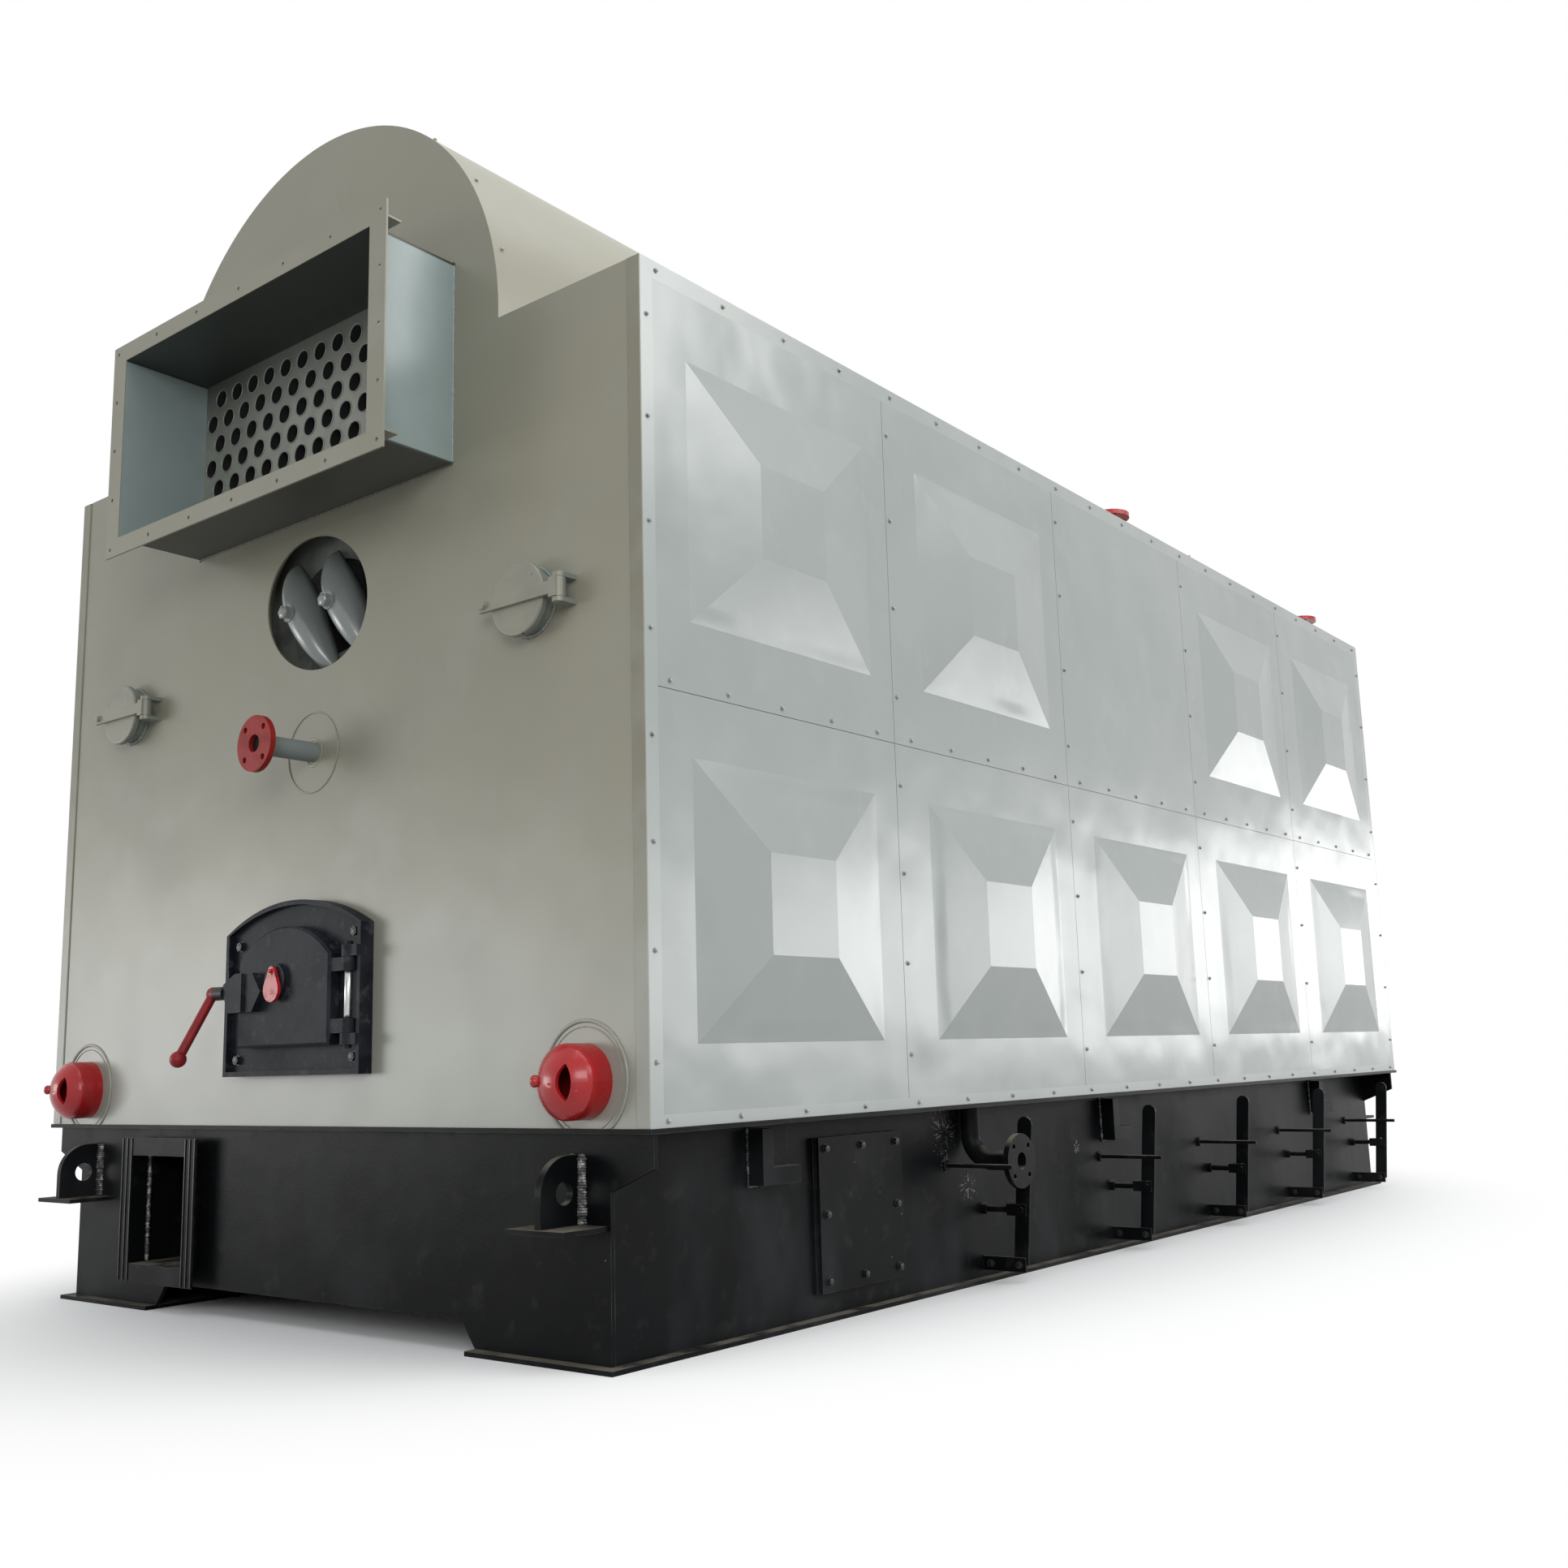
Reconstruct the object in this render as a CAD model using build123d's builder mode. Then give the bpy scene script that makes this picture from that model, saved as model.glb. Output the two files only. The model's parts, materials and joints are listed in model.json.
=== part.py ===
"""A packaged solid-fuel steam boiler on its base frame, in millimetres.

+Z is up, +Y runs along the casing away from the flue end, and +X is the side with
the damper levers. The origin is on the floor, at the middle of the overall box.
"""

import os
from math import acos, cos, radians, sin, sqrt

from build123d import *

os.makedirs("parts", exist_ok=True)


# Overall sizes

casing_l = 5480
casing_w = 2766
casing_h = 2200
base_h = 560
duct_reach = 290
drum_cover_r = 845
drum_axis_h = 2223

# Base frame

plate = 12
wall_plate = 10
base_set_in = 155
end_setback = 22
deck_overhang = 8
shoulder_set_in = 12
shoulder_drop = 92
shoulder_foot_drop = 150
foot_flange = 35
sill_w = 483
sill_inner_start = 400
notch_top = 80
notch_slant = 53

lug_reach = 135

half_w = casing_w / 2
base_half_w = half_w - base_set_in
shoulder_half_w = half_w - shoulder_set_in
sill_inner_half_w = base_half_w - sill_w
sheet = 3
inner_half_w = half_w - sheet
casing_z = base_h
roof_z = casing_z + casing_h
lug_out = lug_reach + plate - end_setback
face_y = (duct_reach - casing_l - lug_out) / 2
far_y = face_y + casing_l
mid_y = (face_y + far_y) / 2
deck_under = base_h - plate
near_plate_y = face_y + end_setback
far_plate_y = far_y - end_setback


# Casing

end_panel = 50
roof_t = 50
roof_lap = 60
drum_lagging = 50
lagging = 100
panel_gap = 2
bays = 5
far_bay_extra = 70
bay_l = (casing_l - far_bay_extra) / bays
plain_upper_bay = 3
row_split = 1068
corner_strip = 45
top_strip = 50
bottom_strip = 31
dish_rise = 38
dish_flat_l = 285
dish_flat_h = 266
dish_near = 170
dish_far = 112
lower_dish_margin = 163
upper_dish_margin = 187


# Flue end fittings

duct_x = 22
duct_drop = 97
duct_z = drum_axis_h - duct_drop
duct_w = 1266
duct_h = 606
duct_wall = 5
flue_lip_w = 67
flue_lip_h = 52.5
flue_flange_w = duct_w + 2 * flue_lip_w
flue_flange_h = duct_h + 2 * flue_lip_h
flue_flange_t = 6
flue_angle_leg = 50
flue_bolt_r = 6
flue_bolt_in = 26
flue_bolts_across = 7
flue_bolts_up = 5
tube_sheet_t = 16
tube_hole_r = 31
tube_spacing = 90
tube_row_spacing = 78
tube_rows = 7
long_row_count = 14

manhole_x = 31
manhole_drop = 676
manhole_z = drum_axis_h - manhole_drop
cutout_half_l = 255
cutout_half_h = 205
cutout_tilt = -20
cutout_relief = 55
end_skin = 6
manhole_half_l = 200
manhole_half_h = 150
manhole_ring = 22
manhole_ring_in = 45
manhole_plate_margin = 60
manhole_set_back = 20
manhole_rim = 10
yoke_w = 58
yoke_t = 14
yoke_span = 450
yoke_rise = 76
yoke_tilt = 30
yoke_spacing = 198
yoke_x = manhole_x + 12
yoke_z = manhole_z - 24
stud_r = 12
stud_end = 24

port_in = 403
port_x = half_w - port_in
port_z = 1352
port_neck_r = 88
port_bore_r = 78
port_neck_l = 32
port_cover_r = 100
port_cover_t = 18
port_cover_round = 6
port_gap = 5
port_pin_reach = 150
port_pin_r = 9
port_pin_proud = 1
port_strap_h = 34
port_strap_t = 12
port_strap_past = 34
port_knuckle_r = 18
port_knuckle_half_h = 26
port_lug_t = 12
port_lug_gap = 1

feed_x = 35
feed_drop = 462
feed_z = manhole_z - feed_drop
feed_l = 200
pipe_r = 30
pipe_bore = 26
flange_r = 82.5
flange_t = 18
flange_hole_r = 9
flange_pcd_r = 62.5

header_in = 215
header_x = half_w - header_in
header_z = 112
header_r = 92
header_l = 70
header_wall = 10
header_dome = 50
header_knuckle = 25
handhole_x = 38
handhole_half_w = 19
handhole_half_h = 44


# Fire door

door_x = 5
frame_half_w = 326
frame_x = 12
frame_low = 143
frame_shoulder = 561
frame_high = 645
frame_t = 25
door_half_w = 220
door_low = 225
door_shoulder = 480
door_high = 569
door_t = 35
door_gap = 5
door_edge = 7
mouth_half_w = 170
mouth_low = 265
mouth_shoulder = 450
mouth_high = 505
mouth_depth = 420
refractory = 60
hinge_x = 292
hinge_pin_r = 11
hinge_fit = 0.5
hinge_arms = [(224, 254), (466, 497)]
door_knuckles = [(256, 295), (427, 464)]
knuckle_r = 21
frame_rim = 45
rim_w = 14
latch_block_left = -250
latch_block_right = -62
latch_block_low = 328
latch_block_high = 440
latch_block_t = 28
latch_block_sunk = 14
latch_block_corner = 28
latch_block_point = 42
latch_rib_w = 27
latch_rib_t = 10
latch_out = 80
latch_z = 388
shaft_r = 12
shaft_seat = 150
neck_r = 20
neck_gap = 2
hub_x = -320
hub_r = 21
latch_arm = 218
latch_arm_fall = 60.6
arm_r = 14
ball_r = 24
keeper_x = -256
keeper_t = 14
keeper_h = 30
keeper_reach = 46
flap_x = -15
flap_r = 36
flap_head_r = 14
flap_drop = 52
flap_pivot_z = 440
flap_t = 10
flap_gap = 1
flap_pin_r = 6
spy_boss_r = 48
spy_boss_l = 14
spy_hole_r = 18


# Base fittings

lug_in = 108
lug_x = base_half_w - lug_in
lug_t = 20
lug_top = 62
lug_low = 228
lug_corner = 90
lug_eye_r = 28
lug_eye_y = 57
lug_eye_drop = 150
shelf_half_w = 100
inlet_x = -685
inlet_w = 418
inlet_h = 440
inlet_z = 302
inlet_angle = 50
inlet_angle_t = 5
inlet_stand = 46
inlet_duct = 300
cover_bay = 0.936
cover_y = cover_bay * bay_l
cover_w = 417
cover_h = 417
cover_z = 283
bracket_bays = [0.494, 2.36, 4.32]
bracket_l = 158
bracket_top = 29
bracket_low = 175
bracket_stand = 55
bracket_leg = 45
drain_bay = 1.479
drain_y = drain_bay * bay_l
drain_reach = 214
drain_z = 380
drain_bend = 76
drain_stand = 34
nozzle_bays = [2.787, 4.8]
nozzle_in = 183
nozzle_x = half_w - nozzle_in
nozzle_top = 130


# Damper levers

lever_bays = [1.58, 2.41, 3.21, 4.01, 4.81]
lever_ys = [bay * bay_l for bay in lever_bays]
lever_w = 50
lever_t = 10
lever_stand = 132
lever_foot_x = base_half_w + lever_stand
lever_foot_z = 55
lever_l = 455
lever_lean = 5
lever_slot_w = 17
lever_slot_extra = 12
rod_r = 10
rod_fit = 1
rod_tail = 78
clevis_up = 167
clevis_w = 28
clevis_h = 36
clevis_l = 70
clevis_past = 17
clevis_root = 12
clevis_side_gap = 1
pin_r = 6
pin_fit = 0.5
pin_head_r = 9
pin_head_t = 6
stop_rod_steps = [-215, -76, -72, -81, -76]
stop_rod_zs = [370, 329, 329, 329, 329]
stop_rod_r = 7
stop_rod_l = 242
link_gap = 2
link_t = 8
link_h = 44
link_past = 22
collar_r = 18
collar_l = 20
stop_collar_l = 10


def write(part, name):
    """Label a finished piece and write its STEP file."""
    part.label = name
    export_step(part, f"parts/{name}.step")


def box_between(low, high):
    """Add the box between two corners to the part being built."""
    size = [b - a for a, b in zip(low, high)]
    middle = [(a + b) / 2 for a, b in zip(low, high)]
    with Locations(tuple(middle)):
        Box(*size)


def arched_face(half_width, low, shoulder, high, centre_x):
    """Return a flat outline with straight sides and an arched top."""
    left = centre_x - half_width
    right = centre_x + half_width
    with BuildSketch() as outline:
        with BuildLine():
            Polyline((left, shoulder), (left, low), (right, low), (right, shoulder))
            ThreePointArc((right, shoulder), (centre_x, high), (left, shoulder))
        make_face()
    return outline.sketch


def facing(y, z=casing_z):
    """The upright plane at y that faces the flue end, with x to the right and z up."""
    return Plane(origin=(0, y, z), x_dir=(1, 0, 0), z_dir=(0, -1, 0))


def facing_side(x, y=face_y, z=casing_z):
    """The upright plane at x that faces +X, with y to the right and z up."""
    return Plane(origin=(x, y, z), x_dir=(0, 1, 0), z_dir=(1, 0, 0))


# Base frame: two sills, two end plates and the deck that carries the casing

for side, name in ((1, "base_side_right"), (-1, "base_side_left")):
    with BuildPart() as base_side:
        box_between(
            (base_half_w - wall_plate, near_plate_y + plate, 0),
            (base_half_w, far_plate_y - plate, deck_under),
        )
        box_between(
            (sill_inner_half_w, near_plate_y + plate, 0),
            (base_half_w + foot_flange, far_plate_y - plate, plate),
        )
        box_between(
            (sill_inner_half_w, face_y + sill_inner_start, 0),
            (sill_inner_half_w + wall_plate, far_y - sill_inner_start, deck_under),
        )
        if side > 0:
            for lever_y in lever_ys:
                with Locations(
                    Plane(
                        origin=(base_half_w, face_y + lever_y, lever_foot_z
                                + clevis_up * cos(radians(lever_lean))),
                        z_dir=(1, 0, 0),
                    )
                ):
                    Hole(rod_r + rod_fit, depth=2 * wall_plate)
        else:
            mirror(about=Plane.YZ, mode=Mode.REPLACE)
    write(base_side.part, name)

for name, y, outward in (
    ("base_end_near", near_plate_y, -1),
    ("base_end_far", far_plate_y, 1),
):
    with BuildPart() as base_end:
        with BuildSketch(facing(y, 0)):
            with BuildLine():
                half_outline = [
                    (0, notch_top),
                    (sill_inner_half_w - notch_slant, notch_top),
                    (sill_inner_half_w, plate),
                    (base_half_w, plate),
                    (base_half_w, base_h - shoulder_foot_drop),
                    (shoulder_half_w, base_h - shoulder_drop),
                    (shoulder_half_w, deck_under),
                    (0, deck_under),
                ]
                Polyline(*half_outline, close=True)
            make_face()
            mirror(about=Plane.YZ)
        extrude(amount=plate * outward)
        if outward < 0:
            with BuildSketch(facing(y, 0)):
                with Locations((inlet_x, inlet_z)):
                    Rectangle(inlet_w - 2 * inlet_angle, inlet_h - 2 * inlet_angle)
            extrude(amount=-plate, mode=Mode.SUBTRACT)
        inner_y = y - outward * plate
        outer_y = y + outward * foot_flange
        for side in (-1, 1):
            xs = sorted((side * sill_inner_half_w, side * (base_half_w + foot_flange)))
            ys = sorted((inner_y, outer_y))
            box_between((xs[0], ys[0], 0), (xs[1], ys[1], plate))
    write(base_end.part, name)

with BuildPart() as base_deck:
    box_between(
        (-half_w - deck_overhang, face_y - deck_overhang, deck_under),
        (half_w + deck_overhang, far_y + deck_overhang, base_h),
    )
write(base_deck.part, "base_deck")


# Air inlet: an angle-iron frame on a short duct that passes the near end plate

inlet_face_y = near_plate_y - inlet_stand
inlet_open_w = inlet_w - 2 * inlet_angle
inlet_open_h = inlet_h - 2 * inlet_angle
with BuildPart() as air_inlet:
    with BuildSketch(facing(inlet_face_y, 0)):
        with Locations((inlet_x, inlet_z)):
            Rectangle(inlet_w, inlet_h)
            Rectangle(inlet_open_w, inlet_open_h, mode=Mode.SUBTRACT)
    extrude(amount=-inlet_angle_t)
    with BuildSketch(facing(inlet_face_y, 0)):
        with Locations((inlet_x, inlet_z)):
            Rectangle(inlet_open_w, inlet_open_h)
            Rectangle(
                inlet_open_w - 2 * inlet_angle_t,
                inlet_open_h - 2 * inlet_angle_t,
                mode=Mode.SUBTRACT,
            )
    extrude(amount=-(inlet_stand + inlet_duct))
write(air_inlet.part, "air_inlet")


# Lifting lugs: an eye plate standing on a shelf at each corner of the base

with BuildPart() as lifting_lugs:
    with BuildSketch(facing_side(lug_x - lug_t / 2, near_plate_y, base_h)):
        with BuildLine():
            Polyline(
                (0, -lug_top),
                (0, -lug_low),
                (-lug_reach, -lug_low),
                (-lug_reach, -lug_top - lug_corner),
            )
            RadiusArc(
                (-lug_reach, -lug_top - lug_corner),
                (-lug_reach + lug_corner, -lug_top),
                lug_corner,
            )
            Line((-lug_reach + lug_corner, -lug_top), (0, -lug_top))
        make_face()
        with Locations((-lug_eye_y, -lug_eye_drop)):
            Circle(lug_eye_r, mode=Mode.SUBTRACT)
    extrude(amount=lug_t)
    box_between(
        (lug_x - shelf_half_w, near_plate_y - lug_reach - plate, base_h - lug_low - plate),
        (lug_x + shelf_half_w, near_plate_y, base_h - lug_low),
    )
    mirror(about=Plane.YZ)
    mirror(about=Plane.XZ.offset(-mid_y))
write(lifting_lugs.part, "lifting_lugs")


# Side fittings of the base: bolted access covers and the deck's angle brackets

with BuildPart() as access_covers:
    cover_low = cover_z - cover_h / 2
    cover_high = cover_z + cover_h / 2
    box_between(
        (base_half_w, face_y + cover_y - cover_w / 2, cover_low),
        (base_half_w + plate, face_y + cover_y + cover_w / 2, cover_high),
    )
    box_between(
        (base_half_w + plate, face_y + cover_y - cover_w / 2 + plate, cover_low),
        (base_half_w + 2 * plate, face_y + cover_y + cover_w / 2, cover_high),
    )
    mirror(about=Plane.YZ)
write(access_covers.part, "access_covers")

with BuildPart() as deck_brackets:
    for bay in bracket_bays:
        near = face_y + bay * bay_l
        far = near + bracket_l
        low = base_h - bracket_low
        top = base_h - bracket_top
        out = base_half_w + bracket_stand
        box_between((base_half_w, near, low), (out, near + bracket_leg, top))
        box_between((base_half_w, near, low), (out, far, low + bracket_leg))
        box_between((base_half_w, near, low), (base_half_w + plate, far, deck_under))
    mirror(about=Plane.YZ)
write(deck_brackets.part, "deck_brackets")


# Drain pipe: down from the casing, round a bend and out to a flange

def pipe_flange(face_plane):
    """Return a four-hole pipe flange whose face lies on the plane, behind it."""
    with BuildPart() as flange:
        with BuildSketch(face_plane):
            Circle(flange_r)
            Circle(pipe_bore, mode=Mode.SUBTRACT)
            with PolarLocations(flange_pcd_r, 4, start_angle=45):
                Circle(flange_hole_r, mode=Mode.SUBTRACT)
        extrude(amount=-flange_t)
    return flange.part


with BuildPart() as drain_pipe:
    drain_x = base_half_w + drain_stand
    drain_face_x = base_half_w + drain_reach
    drain_plane_y = face_y + drain_y
    with BuildLine() as drain_route:
        FilletPolyline(
            (drain_x, drain_plane_y, deck_under),
            (drain_x, drain_plane_y, drain_z),
            (drain_face_x - flange_t, drain_plane_y, drain_z),
            radius=drain_bend,
        )
    with BuildSketch(Plane(origin=(drain_x, drain_plane_y, deck_under), z_dir=(0, 0, -1))):
        Circle(pipe_r)
        Circle(pipe_bore, mode=Mode.SUBTRACT)
    sweep(path=drain_route.wires()[0])
    add(pipe_flange(facing_side(drain_face_x, drain_plane_y, drain_z)))
write(drain_pipe.part, "drain_pipe")


# Roof nozzles: short flanged pipes through the roof sheet

with BuildPart() as roof_nozzles:
    for bay in nozzle_bays:
        centre = (nozzle_x, face_y + bay * bay_l)
        with BuildSketch(Plane.XY.offset(roof_z)):
            with Locations(centre):
                Circle(pipe_r)
                Circle(pipe_bore, mode=Mode.SUBTRACT)
        extrude(amount=nozzle_top - flange_t)
        add(pipe_flange(Plane(origin=(*centre, roof_z + nozzle_top))))
write(roof_nozzles.part, "roof_nozzles")


# Damper levers: a wall link and stop rod, a lever on its pivot and a forked push rod

lean = radians(lever_lean)
clevis_x = lever_foot_x + clevis_up * sin(lean)
clevis_z = lever_foot_z + clevis_up * cos(lean)

with BuildPart() as lever_brackets:
    for lever_y, step, stop_z in zip(lever_ys, stop_rod_steps, stop_rod_zs):
        y = face_y + lever_y
        link_back = y - lever_t / 2 - link_gap
        box_between(
            (base_half_w, link_back - link_t, lever_foot_z - link_h / 2),
            (lever_foot_x + link_past, link_back, lever_foot_z + link_h / 2),
        )
        with BuildSketch(facing(link_back, 0)):
            with Locations((lever_foot_x, lever_foot_z)):
                Circle(pin_r)
        extrude(amount=-(link_gap + lever_t + link_gap + link_t))
        with BuildSketch(facing_side(base_half_w, y + step, 0)):
            with Locations((0, stop_z)):
                Circle(stop_rod_r)
        extrude(amount=stop_rod_l)
        with BuildSketch(facing_side(base_half_w, y + step, 0)):
            with Locations((0, stop_z)):
                Circle(collar_r)
        extrude(amount=stop_collar_l)
        with BuildSketch(facing_side(base_half_w, y, 0)):
            with Locations((0, clevis_z)):
                Circle(collar_r)
                Circle(rod_r + rod_fit, mode=Mode.SUBTRACT)
        extrude(amount=collar_l)
write(lever_brackets.part, "lever_brackets")

for number, lever_y in enumerate(lever_ys, start=1):
    y = face_y + lever_y
    lever_plane = Plane(
        origin=(lever_foot_x, y - lever_t / 2, lever_foot_z),
        x_dir=(cos(lean), 0, -sin(lean)),
        z_dir=(0, -1, 0),
    )
    with BuildPart() as damper_lever:
        with BuildSketch(lever_plane):
            with Locations((0, lever_l / 2 - lever_w / 4)):
                Rectangle(lever_w, lever_l - lever_w / 2)
            with Locations((0, lever_l - lever_w / 2)):
                Circle(lever_w / 2)
            Circle(pin_r + pin_fit, mode=Mode.SUBTRACT)
            with Locations((0, clevis_up + lever_slot_extra / 2)):
                SlotCenterToCenter(
                    lever_slot_extra, lever_slot_w, rotation=90, mode=Mode.SUBTRACT
                )
        extrude(amount=-lever_t)
    write(damper_lever.part, f"damper_lever_{number}")

    with BuildPart() as push_rod:
        fork_end = clevis_x + clevis_past
        fork_start = fork_end - clevis_l
        fork_gap = lever_t / 2 + clevis_side_gap
        rod_inner = base_half_w - rod_tail
        box_between(
            (fork_start, y - clevis_w / 2, clevis_z - clevis_h / 2),
            (fork_end, y + clevis_w / 2, clevis_z + clevis_h / 2),
        )
        with BuildSketch(facing_side(rod_inner, y, 0)):
            with Locations((0, clevis_z)):
                Circle(rod_r)
        extrude(amount=fork_start - rod_inner)
        with Locations(((fork_start + fork_end) / 2 + clevis_root, y, clevis_z)):
            Box(clevis_l, 2 * fork_gap, clevis_h, mode=Mode.SUBTRACT)
        with BuildSketch(facing(y - clevis_w / 2, 0)):
            with Locations((clevis_x, clevis_z)):
                Circle(pin_r)
        extrude(amount=-clevis_w)
        with BuildSketch(facing(y - clevis_w / 2, 0)):
            with Locations((clevis_x, clevis_z)):
                Circle(pin_head_r)
        extrude(amount=pin_head_t)
    write(push_rod.part, f"push_rod_{number}")


# Casing: end panels, lagged side walls, roof, drum cover and pressed side panels

mouth_face = arched_face(mouth_half_w, mouth_low, mouth_shoulder, mouth_high, door_x)

with BuildSketch() as end_outline:
    with Locations((0, casing_h / 2)):
        Rectangle(2 * inner_half_w, casing_h)
    with Locations((0, drum_axis_h)):
        Circle(drum_cover_r - sheet)

with BuildPart() as end_panel_near:
    with BuildSketch(facing(face_y)):
        add(end_outline.sketch)
        with Locations((duct_x, duct_z)):
            Rectangle(duct_w - 2 * duct_wall, duct_h - 2 * duct_wall, mode=Mode.SUBTRACT)
        with Locations(Location((manhole_x, manhole_z, 0), (0, 0, cutout_tilt))):
            Ellipse(cutout_half_l, cutout_half_h, mode=Mode.SUBTRACT)
        add(mouth_face, mode=Mode.SUBTRACT)
        with Locations((-port_x, port_z), (port_x, port_z)):
            Circle(port_bore_r, mode=Mode.SUBTRACT)
    extrude(amount=-end_panel)
    with BuildSketch(facing(face_y + end_skin)):
        with Locations(Location((manhole_x, manhole_z, 0), (0, 0, cutout_tilt))):
            Ellipse(cutout_half_l + cutout_relief, cutout_half_h + cutout_relief)
    extrude(amount=-(end_panel - end_skin), mode=Mode.SUBTRACT)
write(end_panel_near.part, "end_panel_near")

with BuildPart() as end_panel_far:
    with BuildSketch(facing(far_y)):
        add(end_outline.sketch)
    extrude(amount=end_panel)
write(end_panel_far.part, "end_panel_far")

cover_half_w = sqrt(drum_cover_r**2 - (casing_h - drum_axis_h) ** 2)
with BuildPart() as roof_sheet:
    box_between(
        (cover_half_w - roof_lap, face_y + end_panel, roof_z - roof_t),
        (inner_half_w, far_y - end_panel, roof_z),
    )
    mirror(about=Plane.YZ)
write(roof_sheet.part, "roof_sheet")

with BuildPart() as drum_cover:
    for start, length, thickness in (
        (face_y, casing_l, sheet),
        (face_y + end_panel, casing_l - 2 * end_panel, drum_lagging),
    ):
        with BuildSketch(facing(start)):
            with Locations((0, drum_axis_h)):
                Circle(drum_cover_r)
                Circle(drum_cover_r - thickness, mode=Mode.SUBTRACT)
            with Locations((0, casing_h - drum_cover_r)):
                Rectangle(2 * drum_cover_r, 2 * drum_cover_r, mode=Mode.SUBTRACT)
        extrude(amount=-length)
write(drum_cover.part, "drum_cover")


def pressed_panel(near, far, low, high, dish_ys, dish_zs):
    """Return one sheet of the +X side, with its pressed dish if it has one."""
    with BuildPart() as panel:
        box_between(
            (inner_half_w, face_y + near, casing_z + low),
            (half_w, face_y + far, casing_z + high),
        )
        if dish_ys is not None:
            centre = ((dish_ys[0] + dish_ys[1]) / 2, (dish_zs[0] + dish_zs[1]) / 2)
            length = dish_ys[1] - dish_ys[0]
            height = dish_zs[1] - dish_zs[0]
            for skin, mode in ((0, Mode.ADD), (sheet, Mode.SUBTRACT)):
                with BuildSketch(facing_side(half_w - skin)):
                    with Locations(centre):
                        Rectangle(length - 2 * skin, height - 2 * skin)
                with BuildSketch(facing_side(half_w - skin + dish_rise)):
                    with Locations(centre):
                        Rectangle(dish_flat_l, dish_flat_h)
                loft(mode=mode)
    return panel.part


for row, low, high, margin in (
    ("lower", bottom_strip, row_split - panel_gap, lower_dish_margin),
    ("upper", row_split, casing_h - top_strip, upper_dish_margin),
):
    for side, name in ((1, "right"), (-1, "left")):
        with BuildPart() as side_panels:
            for bay in range(1, bays + 1):
                start = (bay - 1) * bay_l
                end = start + bay_l
                near = corner_strip if bay == 1 else start
                far = casing_l - corner_strip if bay == bays else end - panel_gap
                plain = row == "upper" and bay == plain_upper_bay
                dish_ys = None if plain else (start + dish_near, end - dish_far)
                add(pressed_panel(near, far, low, high, dish_ys, (low + margin, high - margin)))
            if side < 0:
                mirror(about=Plane.YZ, mode=Mode.REPLACE)
        write(side_panels.part, f"panels_{name}_{row}")

for side, name in ((1, "right"), (-1, "left")):
    with BuildPart() as side_wall:
        box_between(
            (inner_half_w - lagging, face_y + end_panel, casing_z),
            (inner_half_w, far_y - end_panel, roof_z - roof_t),
        )
        if side < 0:
            mirror(about=Plane.YZ, mode=Mode.REPLACE)
    write(side_wall.part, f"side_wall_{name}")

    with BuildPart() as trim_frame:
        with BuildSketch(facing_side(half_w)):
            with Locations((casing_l / 2, casing_h / 2)):
                Rectangle(casing_l, casing_h)
            with Locations(
                (casing_l / 2, (casing_h - top_strip + bottom_strip) / 2)
            ):
                Rectangle(
                    casing_l - 2 * corner_strip,
                    casing_h - top_strip - bottom_strip,
                    mode=Mode.SUBTRACT,
                )
        extrude(amount=-sheet)
        if side < 0:
            mirror(about=Plane.YZ, mode=Mode.REPLACE)
    write(trim_frame.part, f"trim_frame_{name}")


# Flue outlet: a rectangular duct in a flange frame of angle iron

duct_centre = (duct_x, duct_z)
duct_inner_w = duct_w - 2 * duct_wall
duct_inner_h = duct_h - 2 * duct_wall
with BuildPart() as flue_duct:
    with BuildSketch(facing(face_y)):
        with Locations(duct_centre):
            Rectangle(duct_w, duct_h)
            Rectangle(duct_inner_w, duct_inner_h, mode=Mode.SUBTRACT)
    extrude(amount=duct_reach)
write(flue_duct.part, "flue_duct")

bolts_w = flue_flange_w - 2 * flue_bolt_in
bolts_h = flue_flange_h - 2 * flue_bolt_in
bolt_step_x = bolts_w / (flue_bolts_across - 1)
bolt_step_z = bolts_h / (flue_bolts_up - 1)
with BuildPart() as flue_angle_frame:
    with BuildSketch(facing(face_y - duct_reach)):
        with Locations(duct_centre):
            Rectangle(flue_flange_w, flue_flange_h)
            Rectangle(duct_w, duct_h, mode=Mode.SUBTRACT)
            with GridLocations(bolt_step_x, bolts_h, flue_bolts_across, 2):
                Circle(flue_bolt_r, mode=Mode.SUBTRACT)
            with GridLocations(bolts_w, bolt_step_z, 2, flue_bolts_up - 2):
                Circle(flue_bolt_r, mode=Mode.SUBTRACT)
    extrude(amount=-flue_flange_t)
    with BuildSketch(facing(face_y - duct_reach)):
        for above in (-1, 1):
            with Locations((duct_x, duct_z + above * (duct_h + flue_flange_t) / 2)):
                Rectangle(flue_flange_w, flue_flange_t)
    extrude(amount=-flue_angle_leg)
write(flue_angle_frame.part, "flue_angle_frame")

with BuildPart() as tube_sheet:
    with BuildSketch(facing(face_y)):
        with Locations(duct_centre):
            Rectangle(duct_inner_w, duct_inner_h)
        for row in range(tube_rows):
            count = long_row_count - 1 + row % 2
            row_z = duct_z + ((tube_rows - 1) / 2 - row) * tube_row_spacing
            with Locations((duct_x, row_z)):
                with GridLocations(tube_spacing, tube_row_spacing, count, 1):
                    Circle(tube_hole_r, mode=Mode.SUBTRACT)
    extrude(amount=-tube_sheet_t)
write(tube_sheet.part, "tube_sheet")


# Manhole: a ring in a plate behind the end panel, its cover and two crossing yokes

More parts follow.
